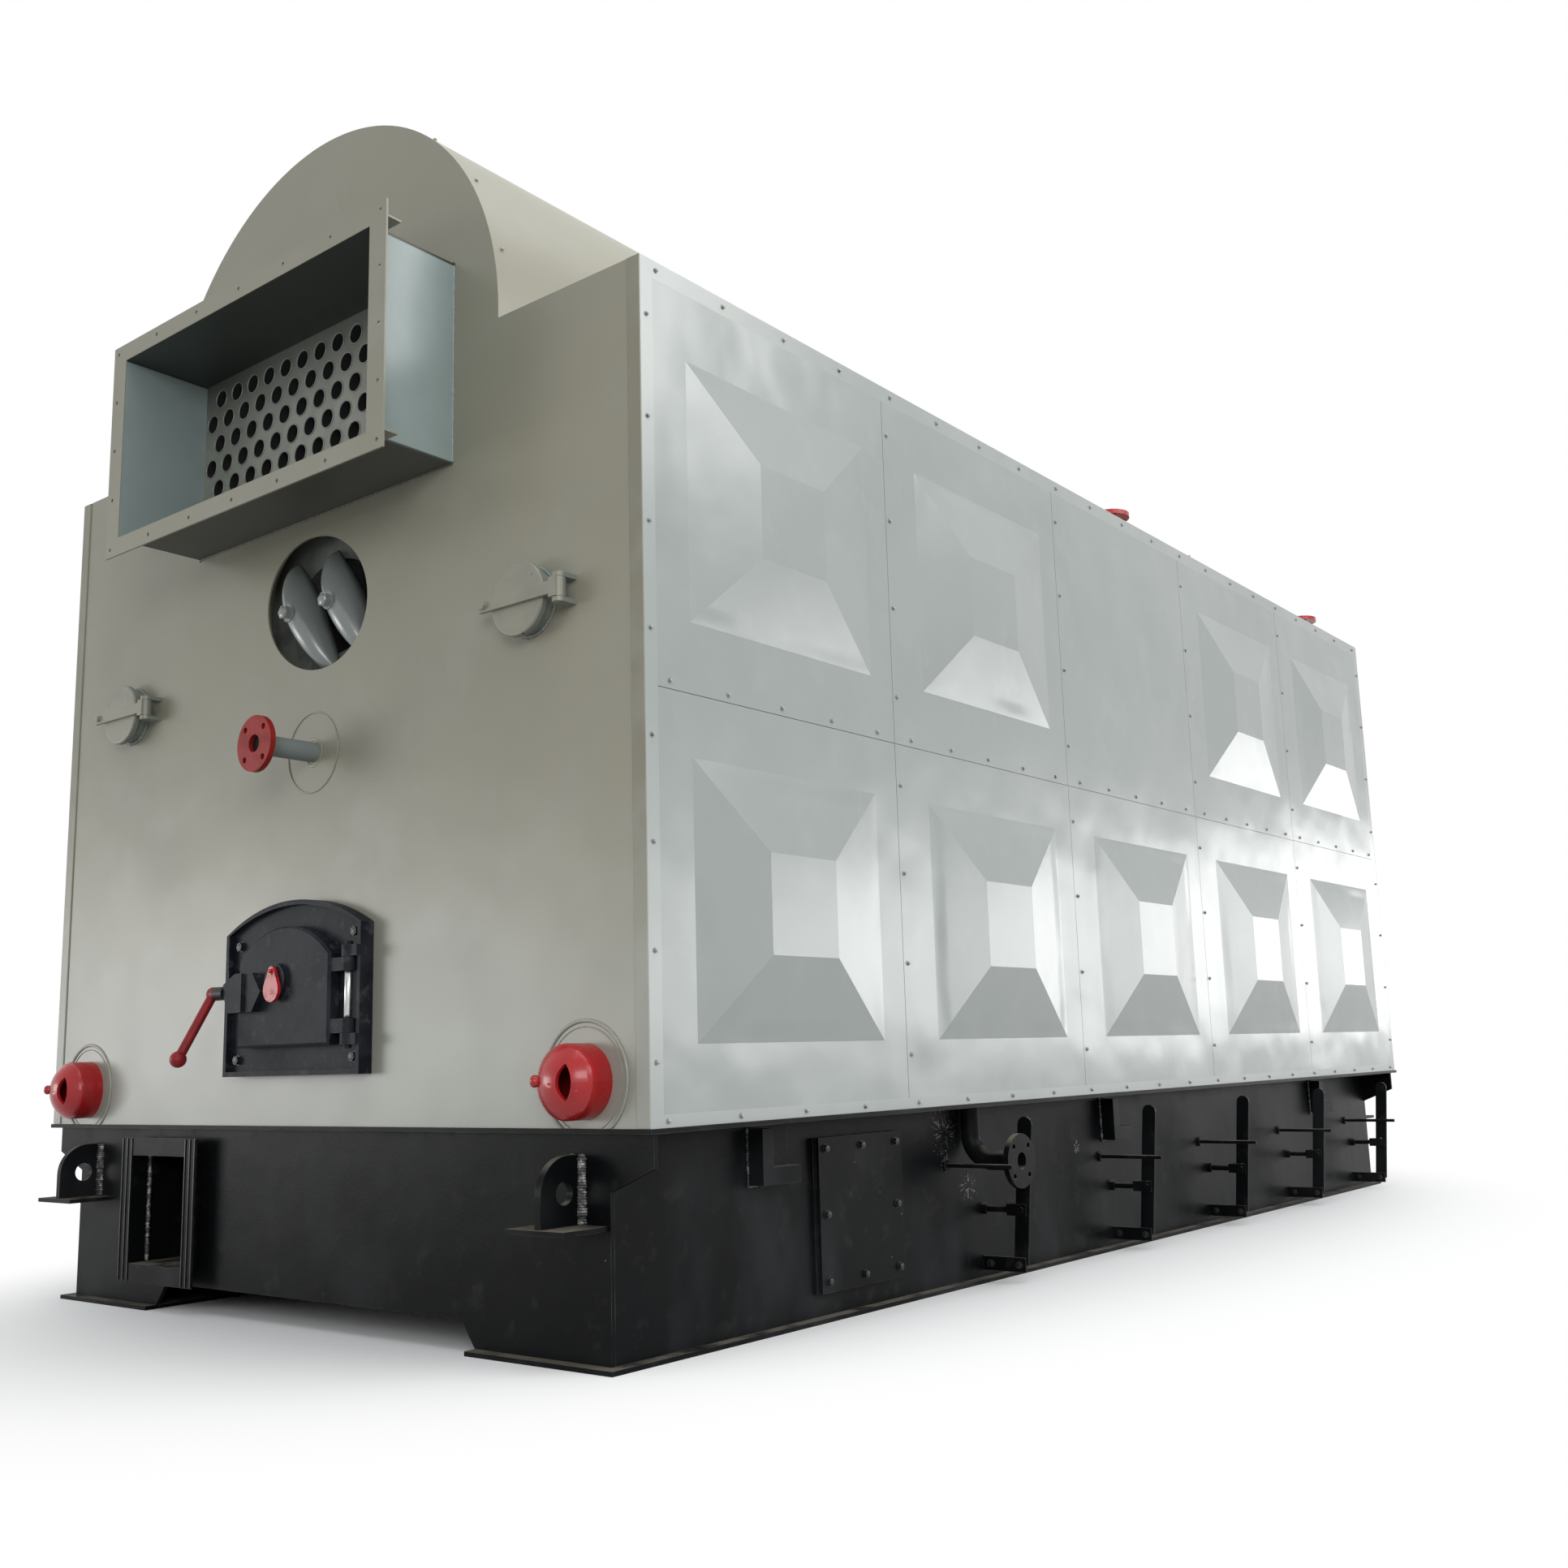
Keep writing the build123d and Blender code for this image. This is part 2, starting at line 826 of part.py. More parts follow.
plate_y = face_y + end_panel
drum_end_y = plate_y + manhole_set_back
cover_face_y = drum_end_y + plate + manhole_ring_in
manhole_centre = (manhole_x, manhole_z)
plate_w = 2 * (cutout_half_l + manhole_plate_margin)
plate_h = 2 * (cutout_half_h + manhole_plate_margin)
with BuildPart() as manhole_plate:
    with BuildSketch(facing(drum_end_y)):
        with Locations(manhole_centre):
            Rectangle(plate_w, plate_h)
            Ellipse(manhole_half_l, manhole_half_h, mode=Mode.SUBTRACT)
    extrude(amount=-plate)
    with BuildSketch(facing(plate_y)):
        with Locations(manhole_centre):
            Rectangle(plate_w, plate_h)
            Rectangle(plate_w - 2 * manhole_rim, plate_h - 2 * manhole_rim, mode=Mode.SUBTRACT)
    extrude(amount=-manhole_set_back)
    with BuildSketch(facing(drum_end_y + plate)):
        with Locations(manhole_centre):
            Ellipse(manhole_half_l + manhole_ring, manhole_half_h + manhole_ring)
            Ellipse(manhole_half_l, manhole_half_h, mode=Mode.SUBTRACT)
    extrude(amount=-manhole_ring_in)
write(manhole_plate.part, "manhole_plate")

tilt = radians(yoke_tilt)
yoke_centres = [(yoke_x - yoke_spacing / 2, yoke_z), (yoke_x + yoke_spacing / 2, yoke_z)]
with BuildPart() as manhole_cover:
    with BuildSketch(facing(cover_face_y)):
        with Locations(manhole_centre):
            Ellipse(manhole_half_l + manhole_ring, manhole_half_h + manhole_ring)
    extrude(amount=-plate)
    with BuildSketch(facing(cover_face_y)):
        with Locations(*yoke_centres):
            Circle(stud_r)
    extrude(amount=cover_face_y - drum_end_y + yoke_rise + yoke_t + stud_end)
write(manhole_cover.part, "manhole_cover")

half_span = yoke_span / 2
with BuildPart() as manhole_yokes:
    for x, z in yoke_centres:
        yoke_plane = Plane(
            origin=(x, drum_end_y, casing_z + z),
            x_dir=(-sin(tilt), 0, cos(tilt)),
            z_dir=(cos(tilt), 0, sin(tilt)),
        )
        with BuildSketch(yoke_plane):
            with BuildLine():
                ThreePointArc((-half_span, 0), (0, yoke_rise + yoke_t), (half_span, 0))
                Line((half_span, 0), (half_span - yoke_t, 0))
                ThreePointArc((half_span - yoke_t, 0), (0, yoke_rise), (yoke_t - half_span, 0))
                Line((yoke_t - half_span, 0), (-half_span, 0))
            make_face()
        extrude(amount=yoke_w / 2, both=True)
    with BuildSketch(facing(drum_end_y)):
        with Locations(*yoke_centres):
            Circle(stud_r + rod_fit)
    extrude(amount=yoke_rise + 2 * yoke_t, mode=Mode.SUBTRACT)
write(manhole_yokes.part, "manhole_yokes")


# Feed pipe and header ends

with BuildPart() as feed_pipe:
    with BuildSketch(facing(face_y)):
        with Locations((feed_x, feed_z)):
            Circle(pipe_r)
            Circle(pipe_bore, mode=Mode.SUBTRACT)
    extrude(amount=feed_l - flange_t)
    flange_plane = Plane(
        origin=(feed_x, face_y - feed_l, casing_z + feed_z), x_dir=(1, 0, 0), z_dir=(0, -1, 0)
    )
    add(pipe_flange(flange_plane))
write(feed_pipe.part, "feed_pipe")


def header_form(centre_x, root, inset):
    """Return the domed form of a header end, from root before the panel, inset all round."""
    radius = header_r - inset
    dome = header_dome - inset
    crown_r = (radius**2 + dome**2) / (2 * dome)
    centre_z = casing_z + header_z
    with BuildPart() as form:
        with BuildSketch(Plane(origin=(centre_x, face_y, centre_z), z_dir=(0, 0, 1))):
            with BuildLine():
                Polyline((0, -root), (radius, -root), (radius, -header_l))
                RadiusArc((radius, -header_l), (0, -header_l - dome), crown_r)
                Line((0, -header_l - dome), (0, -root))
            make_face()
            rim = vertices().sort_by(Axis.X)[-2:].sort_by(Axis.Y)[0]
            fillet(rim, radius=header_knuckle - inset)
        revolve(axis=Axis((centre_x, face_y, centre_z), (0, 1, 0)))
    return form.part


def header_cap(centre_x):
    """Return a hollow header end that stands on the near end panel."""
    with BuildPart() as cap:
        add(header_form(centre_x, 0, 0))
        add(header_form(centre_x, header_wall, header_wall), mode=Mode.SUBTRACT)
    return cap.part


header_tip_y = face_y - header_l - header_dome
with BuildSketch() as handhole:
    with BuildLine():
        ThreePointArc((0, -handhole_half_h), (handhole_half_w, 0), (0, handhole_half_h))
        ThreePointArc((0, handhole_half_h), (-handhole_half_w, 0), (0, -handhole_half_h))
    make_face()

with BuildPart() as header_ends_near:
    for side in (-1, 1):
        add(header_cap(side * header_x))
    with BuildSketch(facing(header_tip_y)):
        for side in (-1, 1):
            with Locations((side * header_x + handhole_x, header_z)):
                add(handhole.sketch)
    extrude(amount=-(header_l + header_dome - header_wall), mode=Mode.SUBTRACT)
write(header_ends_near.part, "header_ends_near")

with BuildPart() as header_ends_far:
    for side in (-1, 1):
        add(header_cap(side * header_x))
    mirror(about=Plane.XZ.offset(-mid_y), mode=Mode.REPLACE)
write(header_ends_far.part, "header_ends_far")


# Cleaning ports: a neck with a hinge lug, and a cover on a strap that swings on its pin

port_cover_y = face_y - port_neck_l - port_gap
port_strap_y = port_cover_y - port_cover_t
port_pin_y = port_cover_y - port_cover_t / 2
port_pin_half_l = port_knuckle_half_h + port_lug_gap + port_lug_t + port_pin_proud

with BuildPart() as port_necks:
    for side in (-1, 1):
        centre = (side * port_x, port_z)
        pin_x = side * port_x + port_pin_reach
        with BuildSketch(facing(face_y)):
            with Locations(centre):
                Circle(port_neck_r)
                Circle(port_bore_r, mode=Mode.SUBTRACT)
        extrude(amount=port_neck_l)
        for above in (-1, 1):
            lug_up = port_knuckle_half_h + port_lug_gap + port_lug_t / 2
            lug_z = casing_z + port_z + above * lug_up
            box_between(
                (pin_x - port_knuckle_r, port_pin_y, lug_z - port_lug_t / 2),
                (pin_x + port_knuckle_r, face_y, lug_z + port_lug_t / 2),
            )
            with Locations((pin_x, port_pin_y, lug_z)):
                Cylinder(port_knuckle_r, port_lug_t)
        with Locations((pin_x, port_pin_y, casing_z + port_z)):
            Cylinder(port_pin_r, 2 * port_pin_half_l)
write(port_necks.part, "port_necks")

for side, name in ((1, "right"), (-1, "left")):
    pin_x = side * port_x + port_pin_reach
    with BuildPart() as port_cover:
        with BuildSketch(facing(port_cover_y)):
            with Locations((side * port_x, port_z)):
                Circle(port_cover_r)
        extrude(amount=port_cover_t)
        front_edges = port_cover.edges().filter_by(GeomType.CIRCLE).sort_by(Axis.Y)
        fillet(front_edges[0], radius=port_cover_round)
        middle_z = casing_z + port_z
        strap_start = side * port_x - port_cover_r - port_strap_past
        strap_front = port_strap_y - port_strap_t
        box_between(
            (strap_start, strap_front, middle_z - port_strap_h / 2),
            (pin_x, port_strap_y, middle_z + port_strap_h / 2),
        )
        with Locations((pin_x, port_pin_y, middle_z)):
            Cylinder(port_knuckle_r, 2 * port_knuckle_half_h)
        box_between(
            (pin_x - port_knuckle_r, strap_front, middle_z - port_knuckle_half_h),
            (pin_x + port_pin_r, port_pin_y, middle_z + port_knuckle_half_h),
        )
        with Locations((pin_x, port_pin_y, middle_z)):
            Cylinder(port_pin_r + hinge_fit, 2 * port_pin_half_l, mode=Mode.SUBTRACT)
    write(port_cover.part, f"port_cover_{name}")


# Fire door: an arched frame with hinge arms, the door, its latch and a spy-hole flap

frame_face_y = face_y - frame_t
door_back_y = frame_face_y - door_gap
door_face_y = door_back_y - door_t
pin_y = door_back_y - door_t / 2
frame_face = arched_face(frame_half_w, frame_low, frame_shoulder, frame_high, frame_x)
rim_inner = arched_face(
    frame_half_w - rim_w, frame_low + rim_w, frame_shoulder, frame_high - rim_w, frame_x
)
with BuildPart() as fire_door_frame:
    with BuildSketch(facing(face_y)):
        add(frame_face)
        add(mouth_face, mode=Mode.SUBTRACT)
    extrude(amount=frame_t)
    with BuildSketch(facing(frame_face_y)):
        add(frame_face)
        add(rim_inner, mode=Mode.SUBTRACT)
    extrude(amount=frame_rim - frame_t)
    for low, high in hinge_arms:
        arm_z = casing_z + (low + high) / 2
        with Locations((hinge_x, pin_y, arm_z)):
            Cylinder(knuckle_r, high - low)
        box_between(
            (hinge_x, pin_y - knuckle_r / 2, casing_z + low),
            (frame_x + frame_half_w, frame_face_y, casing_z + high),
        )
    keeper_z = casing_z + latch_block_high
    box_between(
        (keeper_x - keeper_t, frame_face_y - keeper_reach, keeper_z - keeper_h / 2),
        (keeper_x, frame_face_y, keeper_z + keeper_h / 2),
    )
    pin_low = casing_z + hinge_arms[0][0] - hinge_pin_r
    pin_high = casing_z + hinge_arms[1][1] + hinge_pin_r
    with Locations((hinge_x, pin_y, (pin_low + pin_high) / 2)):
        Cylinder(hinge_pin_r, pin_high - pin_low)
write(fire_door_frame.part, "fire_door_frame")

shaft_y = face_y - latch_out
shaft_z = casing_z + latch_z
spy_face_y = door_face_y - spy_boss_l
block_x = (latch_block_left + latch_block_right) / 2
block_z = (latch_block_low + latch_block_high) / 2
with BuildPart() as fire_door:
    with BuildSketch(facing(door_back_y)):
        add(arched_face(door_half_w, door_low, door_shoulder, door_high, door_x))
    extrude(amount=door_t)
    chamfer(fire_door.faces().sort_by(Axis.Y)[0].edges(), length=door_edge)
    for low, high in door_knuckles:
        with Locations((hinge_x, pin_y, casing_z + (low + high) / 2)):
            Cylinder(knuckle_r, high - low)
        box_between(
            (door_x + door_half_w - knuckle_r, pin_y - knuckle_r / 2, casing_z + low),
            (hinge_x, pin_y + knuckle_r / 2, casing_z + high),
        )
    with Locations((hinge_x, pin_y, (pin_low + pin_high) / 2)):
        Cylinder(hinge_pin_r + hinge_fit, pin_high - pin_low + knuckle_r, mode=Mode.SUBTRACT)
    with BuildSketch(facing(door_face_y + latch_block_sunk)):
        with BuildLine():
            Polyline(
                (latch_block_left, block_z),
                (latch_block_left, latch_block_high - latch_block_corner),
                (latch_block_left + 2 * latch_block_corner, latch_block_high),
                (latch_block_right - latch_block_point, latch_block_high),
                (latch_block_right, block_z),
                (latch_block_right - latch_block_point, latch_block_low),
                (latch_block_left + latch_block_corner, latch_block_low),
                close=True,
            )
        make_face()
    extrude(amount=latch_block_t + latch_block_sunk)
    box_between(
        (block_x - latch_rib_w / 2, door_face_y - latch_block_t - latch_rib_t,
         casing_z + latch_block_low),
        (block_x + latch_rib_w / 2, door_face_y, casing_z + latch_block_high),
    )
    with BuildSketch(facing_side(latch_block_left, shaft_y, shaft_z)):
        Circle(shaft_r + hinge_fit)
    extrude(amount=shaft_seat + rod_fit, mode=Mode.SUBTRACT)
    with BuildSketch(facing(door_face_y)):
        with Locations((flap_x, flap_pivot_z - flap_drop / 2)):
            Circle(spy_boss_r)
    extrude(amount=spy_boss_l)
    with BuildSketch(facing(spy_face_y)):
        with Locations((flap_x, flap_pivot_z - flap_drop)):
            Circle(spy_hole_r)
    extrude(amount=-(spy_boss_l + door_t), mode=Mode.SUBTRACT)
    with BuildSketch(facing(spy_face_y)):
        with Locations((flap_x, flap_pivot_z)):
            Circle(flap_pin_r)
    extrude(amount=flap_t + 2 * flap_gap)
write(fire_door.part, "fire_door")

arm_fall = radians(latch_arm_fall)
arm_dir = (0, -cos(arm_fall), -sin(arm_fall))
with BuildPart() as latch_handle:
    with BuildSketch(facing_side(hub_x, shaft_y, shaft_z)):
        Circle(shaft_r)
    extrude(amount=latch_block_left + shaft_seat - hub_x)
    with BuildSketch(facing_side(hub_x, shaft_y, shaft_z)):
        Circle(neck_r)
    extrude(amount=latch_block_left - neck_gap - hub_x)
    with Locations((hub_x, shaft_y, shaft_z)):
        Sphere(hub_r)
    with BuildSketch(Plane(origin=(hub_x, shaft_y, shaft_z), x_dir=(1, 0, 0), z_dir=arm_dir)):
        Circle(arm_r)
    extrude(amount=latch_arm)
    with Locations(
        (hub_x, shaft_y + latch_arm * arm_dir[1], shaft_z + latch_arm * arm_dir[2])
    ):
        Sphere(ball_r)
write(latch_handle.part, "latch_handle")

side_angle = acos((flap_r - flap_head_r) / flap_drop)
side_out = sin(side_angle)
side_up = cos(side_angle)
foot_z = flap_pivot_z - flap_drop
with BuildPart() as peephole_flap:
    with BuildSketch(facing(spy_face_y - flap_gap)):
        with BuildLine():
            head_side = (flap_head_r * side_out, flap_pivot_z + flap_head_r * side_up)
            foot_side = (flap_r * side_out, foot_z + flap_r * side_up)
            ThreePointArc(
                (flap_x - head_side[0], head_side[1]),
                (flap_x, flap_pivot_z + flap_head_r),
                (flap_x + head_side[0], head_side[1]),
            )
            Line((flap_x + head_side[0], head_side[1]), (flap_x + foot_side[0], foot_side[1]))
            ThreePointArc(
                (flap_x + foot_side[0], foot_side[1]),
                (flap_x, foot_z - flap_r),
                (flap_x - foot_side[0], foot_side[1]),
            )
            Line((flap_x - foot_side[0], foot_side[1]), (flap_x - head_side[0], head_side[1]))
        make_face()
        with Locations((flap_x, flap_pivot_z)):
            Circle(flap_pin_r + hinge_fit, mode=Mode.SUBTRACT)
    extrude(amount=flap_t)
write(peephole_flap.part, "peephole_flap")

mouth_box_w = 2 * (mouth_half_w + refractory)
mouth_box_h = mouth_high - mouth_low + 2 * refractory
with BuildPart() as furnace_mouth:
    with BuildSketch(facing(plate_y)):
        with Locations((door_x, (mouth_low + mouth_high) / 2)):
            Rectangle(mouth_box_w, mouth_box_h)
        add(mouth_face, mode=Mode.SUBTRACT)
    extrude(amount=-mouth_depth)
    with BuildSketch(facing(plate_y + mouth_depth)):
        with Locations((door_x, (mouth_low + mouth_high) / 2)):
            Rectangle(mouth_box_w, mouth_box_h)
    extrude(amount=-refractory)
write(furnace_mouth.part, "furnace_mouth")
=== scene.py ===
"""The looks of a packaged industrial boiler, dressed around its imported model.

Lengths are in metres, in the model's own frame: +Z is up, +Y runs along the casing
away from the flue end, and +X is the side with the damper levers.
"""

import json
import logging
import math
import random
from dataclasses import dataclass, field, fields, replace
from enum import Enum

import bmesh
import bpy
from mathutils import Matrix, Vector


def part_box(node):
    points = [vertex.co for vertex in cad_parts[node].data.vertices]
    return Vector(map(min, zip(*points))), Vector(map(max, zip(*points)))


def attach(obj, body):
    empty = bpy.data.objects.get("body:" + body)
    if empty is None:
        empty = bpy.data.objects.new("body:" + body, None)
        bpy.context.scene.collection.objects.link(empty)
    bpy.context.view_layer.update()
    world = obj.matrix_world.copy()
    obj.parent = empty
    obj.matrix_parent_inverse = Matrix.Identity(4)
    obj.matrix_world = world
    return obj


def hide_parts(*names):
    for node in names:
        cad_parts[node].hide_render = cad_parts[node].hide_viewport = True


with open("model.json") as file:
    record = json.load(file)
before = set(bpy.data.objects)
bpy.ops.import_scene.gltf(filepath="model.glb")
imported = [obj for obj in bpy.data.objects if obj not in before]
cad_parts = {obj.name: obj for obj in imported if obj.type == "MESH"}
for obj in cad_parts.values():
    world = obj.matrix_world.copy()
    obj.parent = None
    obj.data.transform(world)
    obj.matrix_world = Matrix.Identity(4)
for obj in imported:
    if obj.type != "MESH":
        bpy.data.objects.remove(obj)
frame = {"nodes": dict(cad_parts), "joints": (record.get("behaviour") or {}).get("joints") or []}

Triple = tuple[float, float, float]
Colour = tuple[float, float, float]
Run = tuple[list[Vector], Vector]
Socket = bpy.types.NodeSocket
Node = bpy.types.Node
Mesh = bpy.types.Mesh
Shape = bmesh.types.BMesh
Piece = bpy.types.Object

TO_NEAR = Vector((0, -1, 0)).freeze()
TO_FAR = Vector((0, 1, 0)).freeze()
FLOAT = "NodeSocketFloat"
VECTOR = "NodeSocketVector"
GEOMETRY = "NodeSocketGeometry"
EVEN = (1, 1, 1)

logging.basicConfig(level=logging.INFO, format="%(name)s: %(message)s")
log = logging.getLogger("boiler")


# Node trees

@dataclass
class Tree:
    """A node tree that is being written.

    Args:
        data: Blender's own tree.
    """

    data: bpy.types.NodeTree

    @property
    def given(self) -> bpy.types.bpy_prop_collection:
        """The group's inputs, as sockets to read from."""
        return self.data.nodes["Group Input"].outputs

    def link(self, source: Socket, target: Socket) -> None:
        """Connect an output to an input."""
        self.data.links.new(source, target)

    def give(self, name: str, value: Socket) -> None:
        """Hand a value out of the group under a name."""
        self.link(value, self.data.nodes["Group Output"].inputs[name])

    def put(self, node: Node, key: str | int, value: object) -> None:
        """Fill one input of a node.

        Args:
            node: The node.
            key: The input's name or index.
            value: A socket to link to it, or a plain value to set.
        """
        if isinstance(value, Socket):
            self.link(value, node.inputs[key])
        else:
            node.inputs[key].default_value = value

    def node(self, kind: str, inputs: dict | None = None, **settings: object) -> Node:
        """Add one node.

        Args:
            kind: The node's type name.
            inputs: A number, vector or socket for each input, by name or index.
            settings: The node's own settings.

        Returns:
            The new node.
        """
        node = self.data.nodes.new(kind)
        for key, value in settings.items():
            setattr(node, key, value)
        for key, value in (inputs or {}).items():
            self.put(node, key, value)
        return node

    def maths(self, operation: str, *values: object) -> Socket:
        """Return the result of one Math node on the values."""
        return self.node("ShaderNodeMath", dict(enumerate(values)), operation=operation).outputs[0]

    def vector(self, operation: str, *values: object) -> Node:
        """Return one Vector Math node on the values."""
        return self.node("ShaderNodeVectorMath", dict(enumerate(values)), operation=operation)

    def ramp(self, value: object, low: object, high: object) -> Socket:
        """Return a smooth step from 0 at low to 1 at high."""
        inputs = {"Value": value, "From Min": low, "From Max": high}
        return self.node("ShaderNodeMapRange", inputs, interpolation_type="SMOOTHSTEP").outputs[0]

    def xyz(self, **parts: object) -> Socket:
        """Return a vector put together from its X, Y and Z."""
        return self.node("ShaderNodeCombineXYZ", parts).outputs[0]

    def place(self) -> Socket:
        """Return the piece's own coordinates."""
        return self.node("ShaderNodeTexCoord").outputs["Object"]

    def mix_colour(self, mask: object, below: object, above: object) -> Socket:
        """Return one colour laid over another by a mask."""
        return self.node("ShaderNodeMix", {0: mask, 6: below, 7: above}, data_type="RGBA").outputs[2]

    def mix_value(self, mask: object, below: object, above: object) -> Socket:
        """Return one number laid over another by a mask."""
        return self.node("ShaderNodeMix", {0: mask, 2: below, 3: above}, data_type="FLOAT").outputs[0]


def new_group(name: str, kind: str, inputs: dict[str, tuple], outputs: dict[str, str]) -> Tree:
    """Start a node group with its sockets.

    Args:
        name: The group's name.
        kind: ShaderNodeTree or GeometryNodeTree.
        inputs: Each input's socket type and default value, which may be None.
        outputs: Each output's socket type.

    Returns:
        The group, with the nodes Group Input and Group Output in it.
    """
    group = bpy.data.node_groups.new(name, kind)
    for label, (socket, value) in inputs.items():
        item = group.interface.new_socket(label, in_out="INPUT", socket_type=socket)
        if value is not None:
            item.default_value = value
    for label, socket in outputs.items():
        group.interface.new_socket(label, in_out="OUTPUT", socket_type=socket)
    tree = Tree(group)
    tree.node("NodeGroupInput")
    tree.node("NodeGroupOutput")
    return tree


# Shader effects

class Effect(Enum):
    """The surface effects that finishes share, one node group each."""

    CLOUD = "Cloud"
    EDGE = "Worn edge"
    DUST = "Settled dust"
    SPECK = "Specks"
    SCRATCH = "Scratches"
    BAND = "Band"


class EffectShop:
    """Builds each effect's node group once, with a Mask output and for Cloud a Height."""

    def __init__(self) -> None:
        """Start with no group built."""
        self.groups: dict[Effect, bpy.types.NodeTree] = {}

    def group(self, effect: Effect) -> bpy.types.NodeTree:
        """Build an effect's node group on its first use.

        Args:
            effect: The effect.

        Returns:
            Its node group.
        """
        if effect not in self.groups:
            makers = {
                Effect.CLOUD: self.cloud, Effect.EDGE: self.edge, Effect.DUST: self.dust,
                Effect.SPECK: self.speck, Effect.SCRATCH: self.scratch, Effect.BAND: self.band,
            }
            self.groups[effect] = makers[effect]().data
        return self.groups[effect]

    def start(self, effect: Effect, inputs: dict[str, tuple]) -> Tree:
        """Open an effect's group with its inputs."""
        return new_group(effect.value, "ShaderNodeTree", inputs, {"Mask": FLOAT, "Height": FLOAT})

    def noise(self, tree: Tree, scale: object, detail: object, stretch: object) -> Socket:
        """Write noise on the piece's own coordinates.

        Args:
            tree: The group that it goes into.
            scale: The noise's scale.
            detail: The noise's detail.
            stretch: A factor for each coordinate.

        Returns:
            The noise's value.
        """
        vector = tree.vector("MULTIPLY", tree.place(), stretch).outputs[0]
        inputs = {"Vector": vector, "Scale": scale, "Detail": detail, "Roughness": 0.55}
        return tree.node("ShaderNodeTexNoise", inputs).outputs[0]

    def cloud(self) -> Tree:
        """Make soft blotches between two noise levels.

        Returns:
            The effect's group.
        """
        tree = self.start(Effect.CLOUD, {
            "Scale": (FLOAT, 2.0), "Detail": (FLOAT, 3.0), "Low": (FLOAT, 0.4),
            "High": (FLOAT, 0.6), "Stretch": (VECTOR, EVEN),
        })
        given = tree.given
        noise = self.noise(tree, given["Scale"], given["Detail"], given["Stretch"])
        tree.give("Mask", tree.ramp(noise, given["Low"], given["High"]))
        tree.give("Height", noise)
        return tree

    def edge(self) -> Tree:
        """Find sharp edges, broken up by noise, where paint rubs through.

        Returns:
            The effect's group.
        """
        tree = self.start(Effect.EDGE, {
            "Radius": (FLOAT, 0.004), "Low": (FLOAT, 0.02), "High": (FLOAT, 0.25),
            "Scale": (FLOAT, 12.0), "Bare": (FLOAT, 0.5),
        })
        given = tree.given
        soft = tree.node("ShaderNodeBevel", {"Radius": given["Radius"]}, samples=4).outputs[0]
        flat = tree.node("ShaderNodeNewGeometry").outputs["Normal"]
        bend = tree.maths("SUBTRACT", 1.0, tree.vector("DOT_PRODUCT", soft, flat).outputs["Value"])
        noise = self.noise(tree, given["Scale"], 4.0, EVEN)
        rubbed = tree.ramp(noise, tree.maths("SUBTRACT", 0.75, given["Bare"]), 0.75)
        tree.give("Mask", tree.maths("MULTIPLY", tree.ramp(bend, given["Low"], given["High"]), rubbed))
        return tree

    def dust(self) -> Tree:
        """Lay dust on what faces up.

        Returns:
            The effect's group.
        """
        tree = self.start(Effect.DUST, {
            "Scale": (FLOAT, 9.0), "Low": (FLOAT, 0.3), "High": (FLOAT, 0.6),
        })
        given = tree.given
        normal = tree.node("ShaderNodeNewGeometry").outputs["Normal"]
        up = tree.ramp(tree.node("ShaderNodeSeparateXYZ", {0: normal}).outputs["Z"], 0.5, 0.9)
        noise = self.noise(tree, given["Scale"], 5.0, EVEN)
        tree.give("Mask", tree.maths("MULTIPLY", up, tree.ramp(noise, given["Low"], given["High"])))
        return tree

    def speck(self) -> Tree:
        """Scatter small round spots over a share of the cells of a Voronoi pattern.

        Returns:
            The effect's group.
        """
        tree = self.start(Effect.SPECK, {
            "Scale": (FLOAT, 20.0), "Size": (FLOAT, 0.1), "Share": (FLOAT, 0.3),
        })
        given = tree.given
        cells = tree.node("ShaderNodeTexVoronoi", {"Vector": tree.place(), "Scale": given["Scale"]})
        hue = tree.node("ShaderNodeSeparateColor", {0: cells.outputs["Color"]}).outputs[0]
        chosen = tree.maths("LESS_THAN", hue, given["Share"])
        core = tree.maths("MULTIPLY", given["Size"], 0.6)
        spot = tree.ramp(cells.outputs["Distance"], given["Size"], core)
        tree.give("Mask", tree.maths("MULTIPLY", chosen, spot))
        return tree

    def scratch(self) -> Tree:
        """Draw thin broken lines along the direction that is stretched most.

        Returns:
            The effect's group.
        """
        tree = self.start(Effect.SCRATCH, {
            "Scale": (FLOAT, 4.0), "Width": (FLOAT, 0.012), "Share": (FLOAT, 0.4),
            "Stretch": (VECTOR, (1, 1, 0.2)),
        })
        given = tree.given
        noise = self.noise(tree, given["Scale"], 2.0, given["Stretch"])
        off = tree.maths("ABSOLUTE", tree.maths("SUBTRACT", noise, 0.5))
        line = tree.ramp(off, given["Width"], 0.0)
        patches = self.noise(tree, 3.0, 2.0, EVEN)
        limit = tree.maths("SUBTRACT", 0.8, tree.maths("MULTIPLY", given["Share"], 0.5))
        broken = tree.ramp(patches, limit, tree.maths("ADD", limit, 0.05))
        tree.give("Mask", tree.maths("MULTIPLY", line, broken))
        return tree

    def band(self) -> Tree:
        """Step smoothly along an axis, the same on both sides of the middle.

        Returns:
            The effect's group.
        """
        tree = self.start(Effect.BAND, {
            "Axis": (VECTOR, (0, 0, 1)), "Low": (FLOAT, 0.0), "High": (FLOAT, 1.0),
        })
        given = tree.given
        along = tree.vector("DOT_PRODUCT", tree.place(), given["Axis"]).outputs["Value"]
        tree.give("Mask", tree.ramp(tree.maths("ABSOLUTE", along), given["Low"], given["High"]))
        return tree


effects = EffectShop()


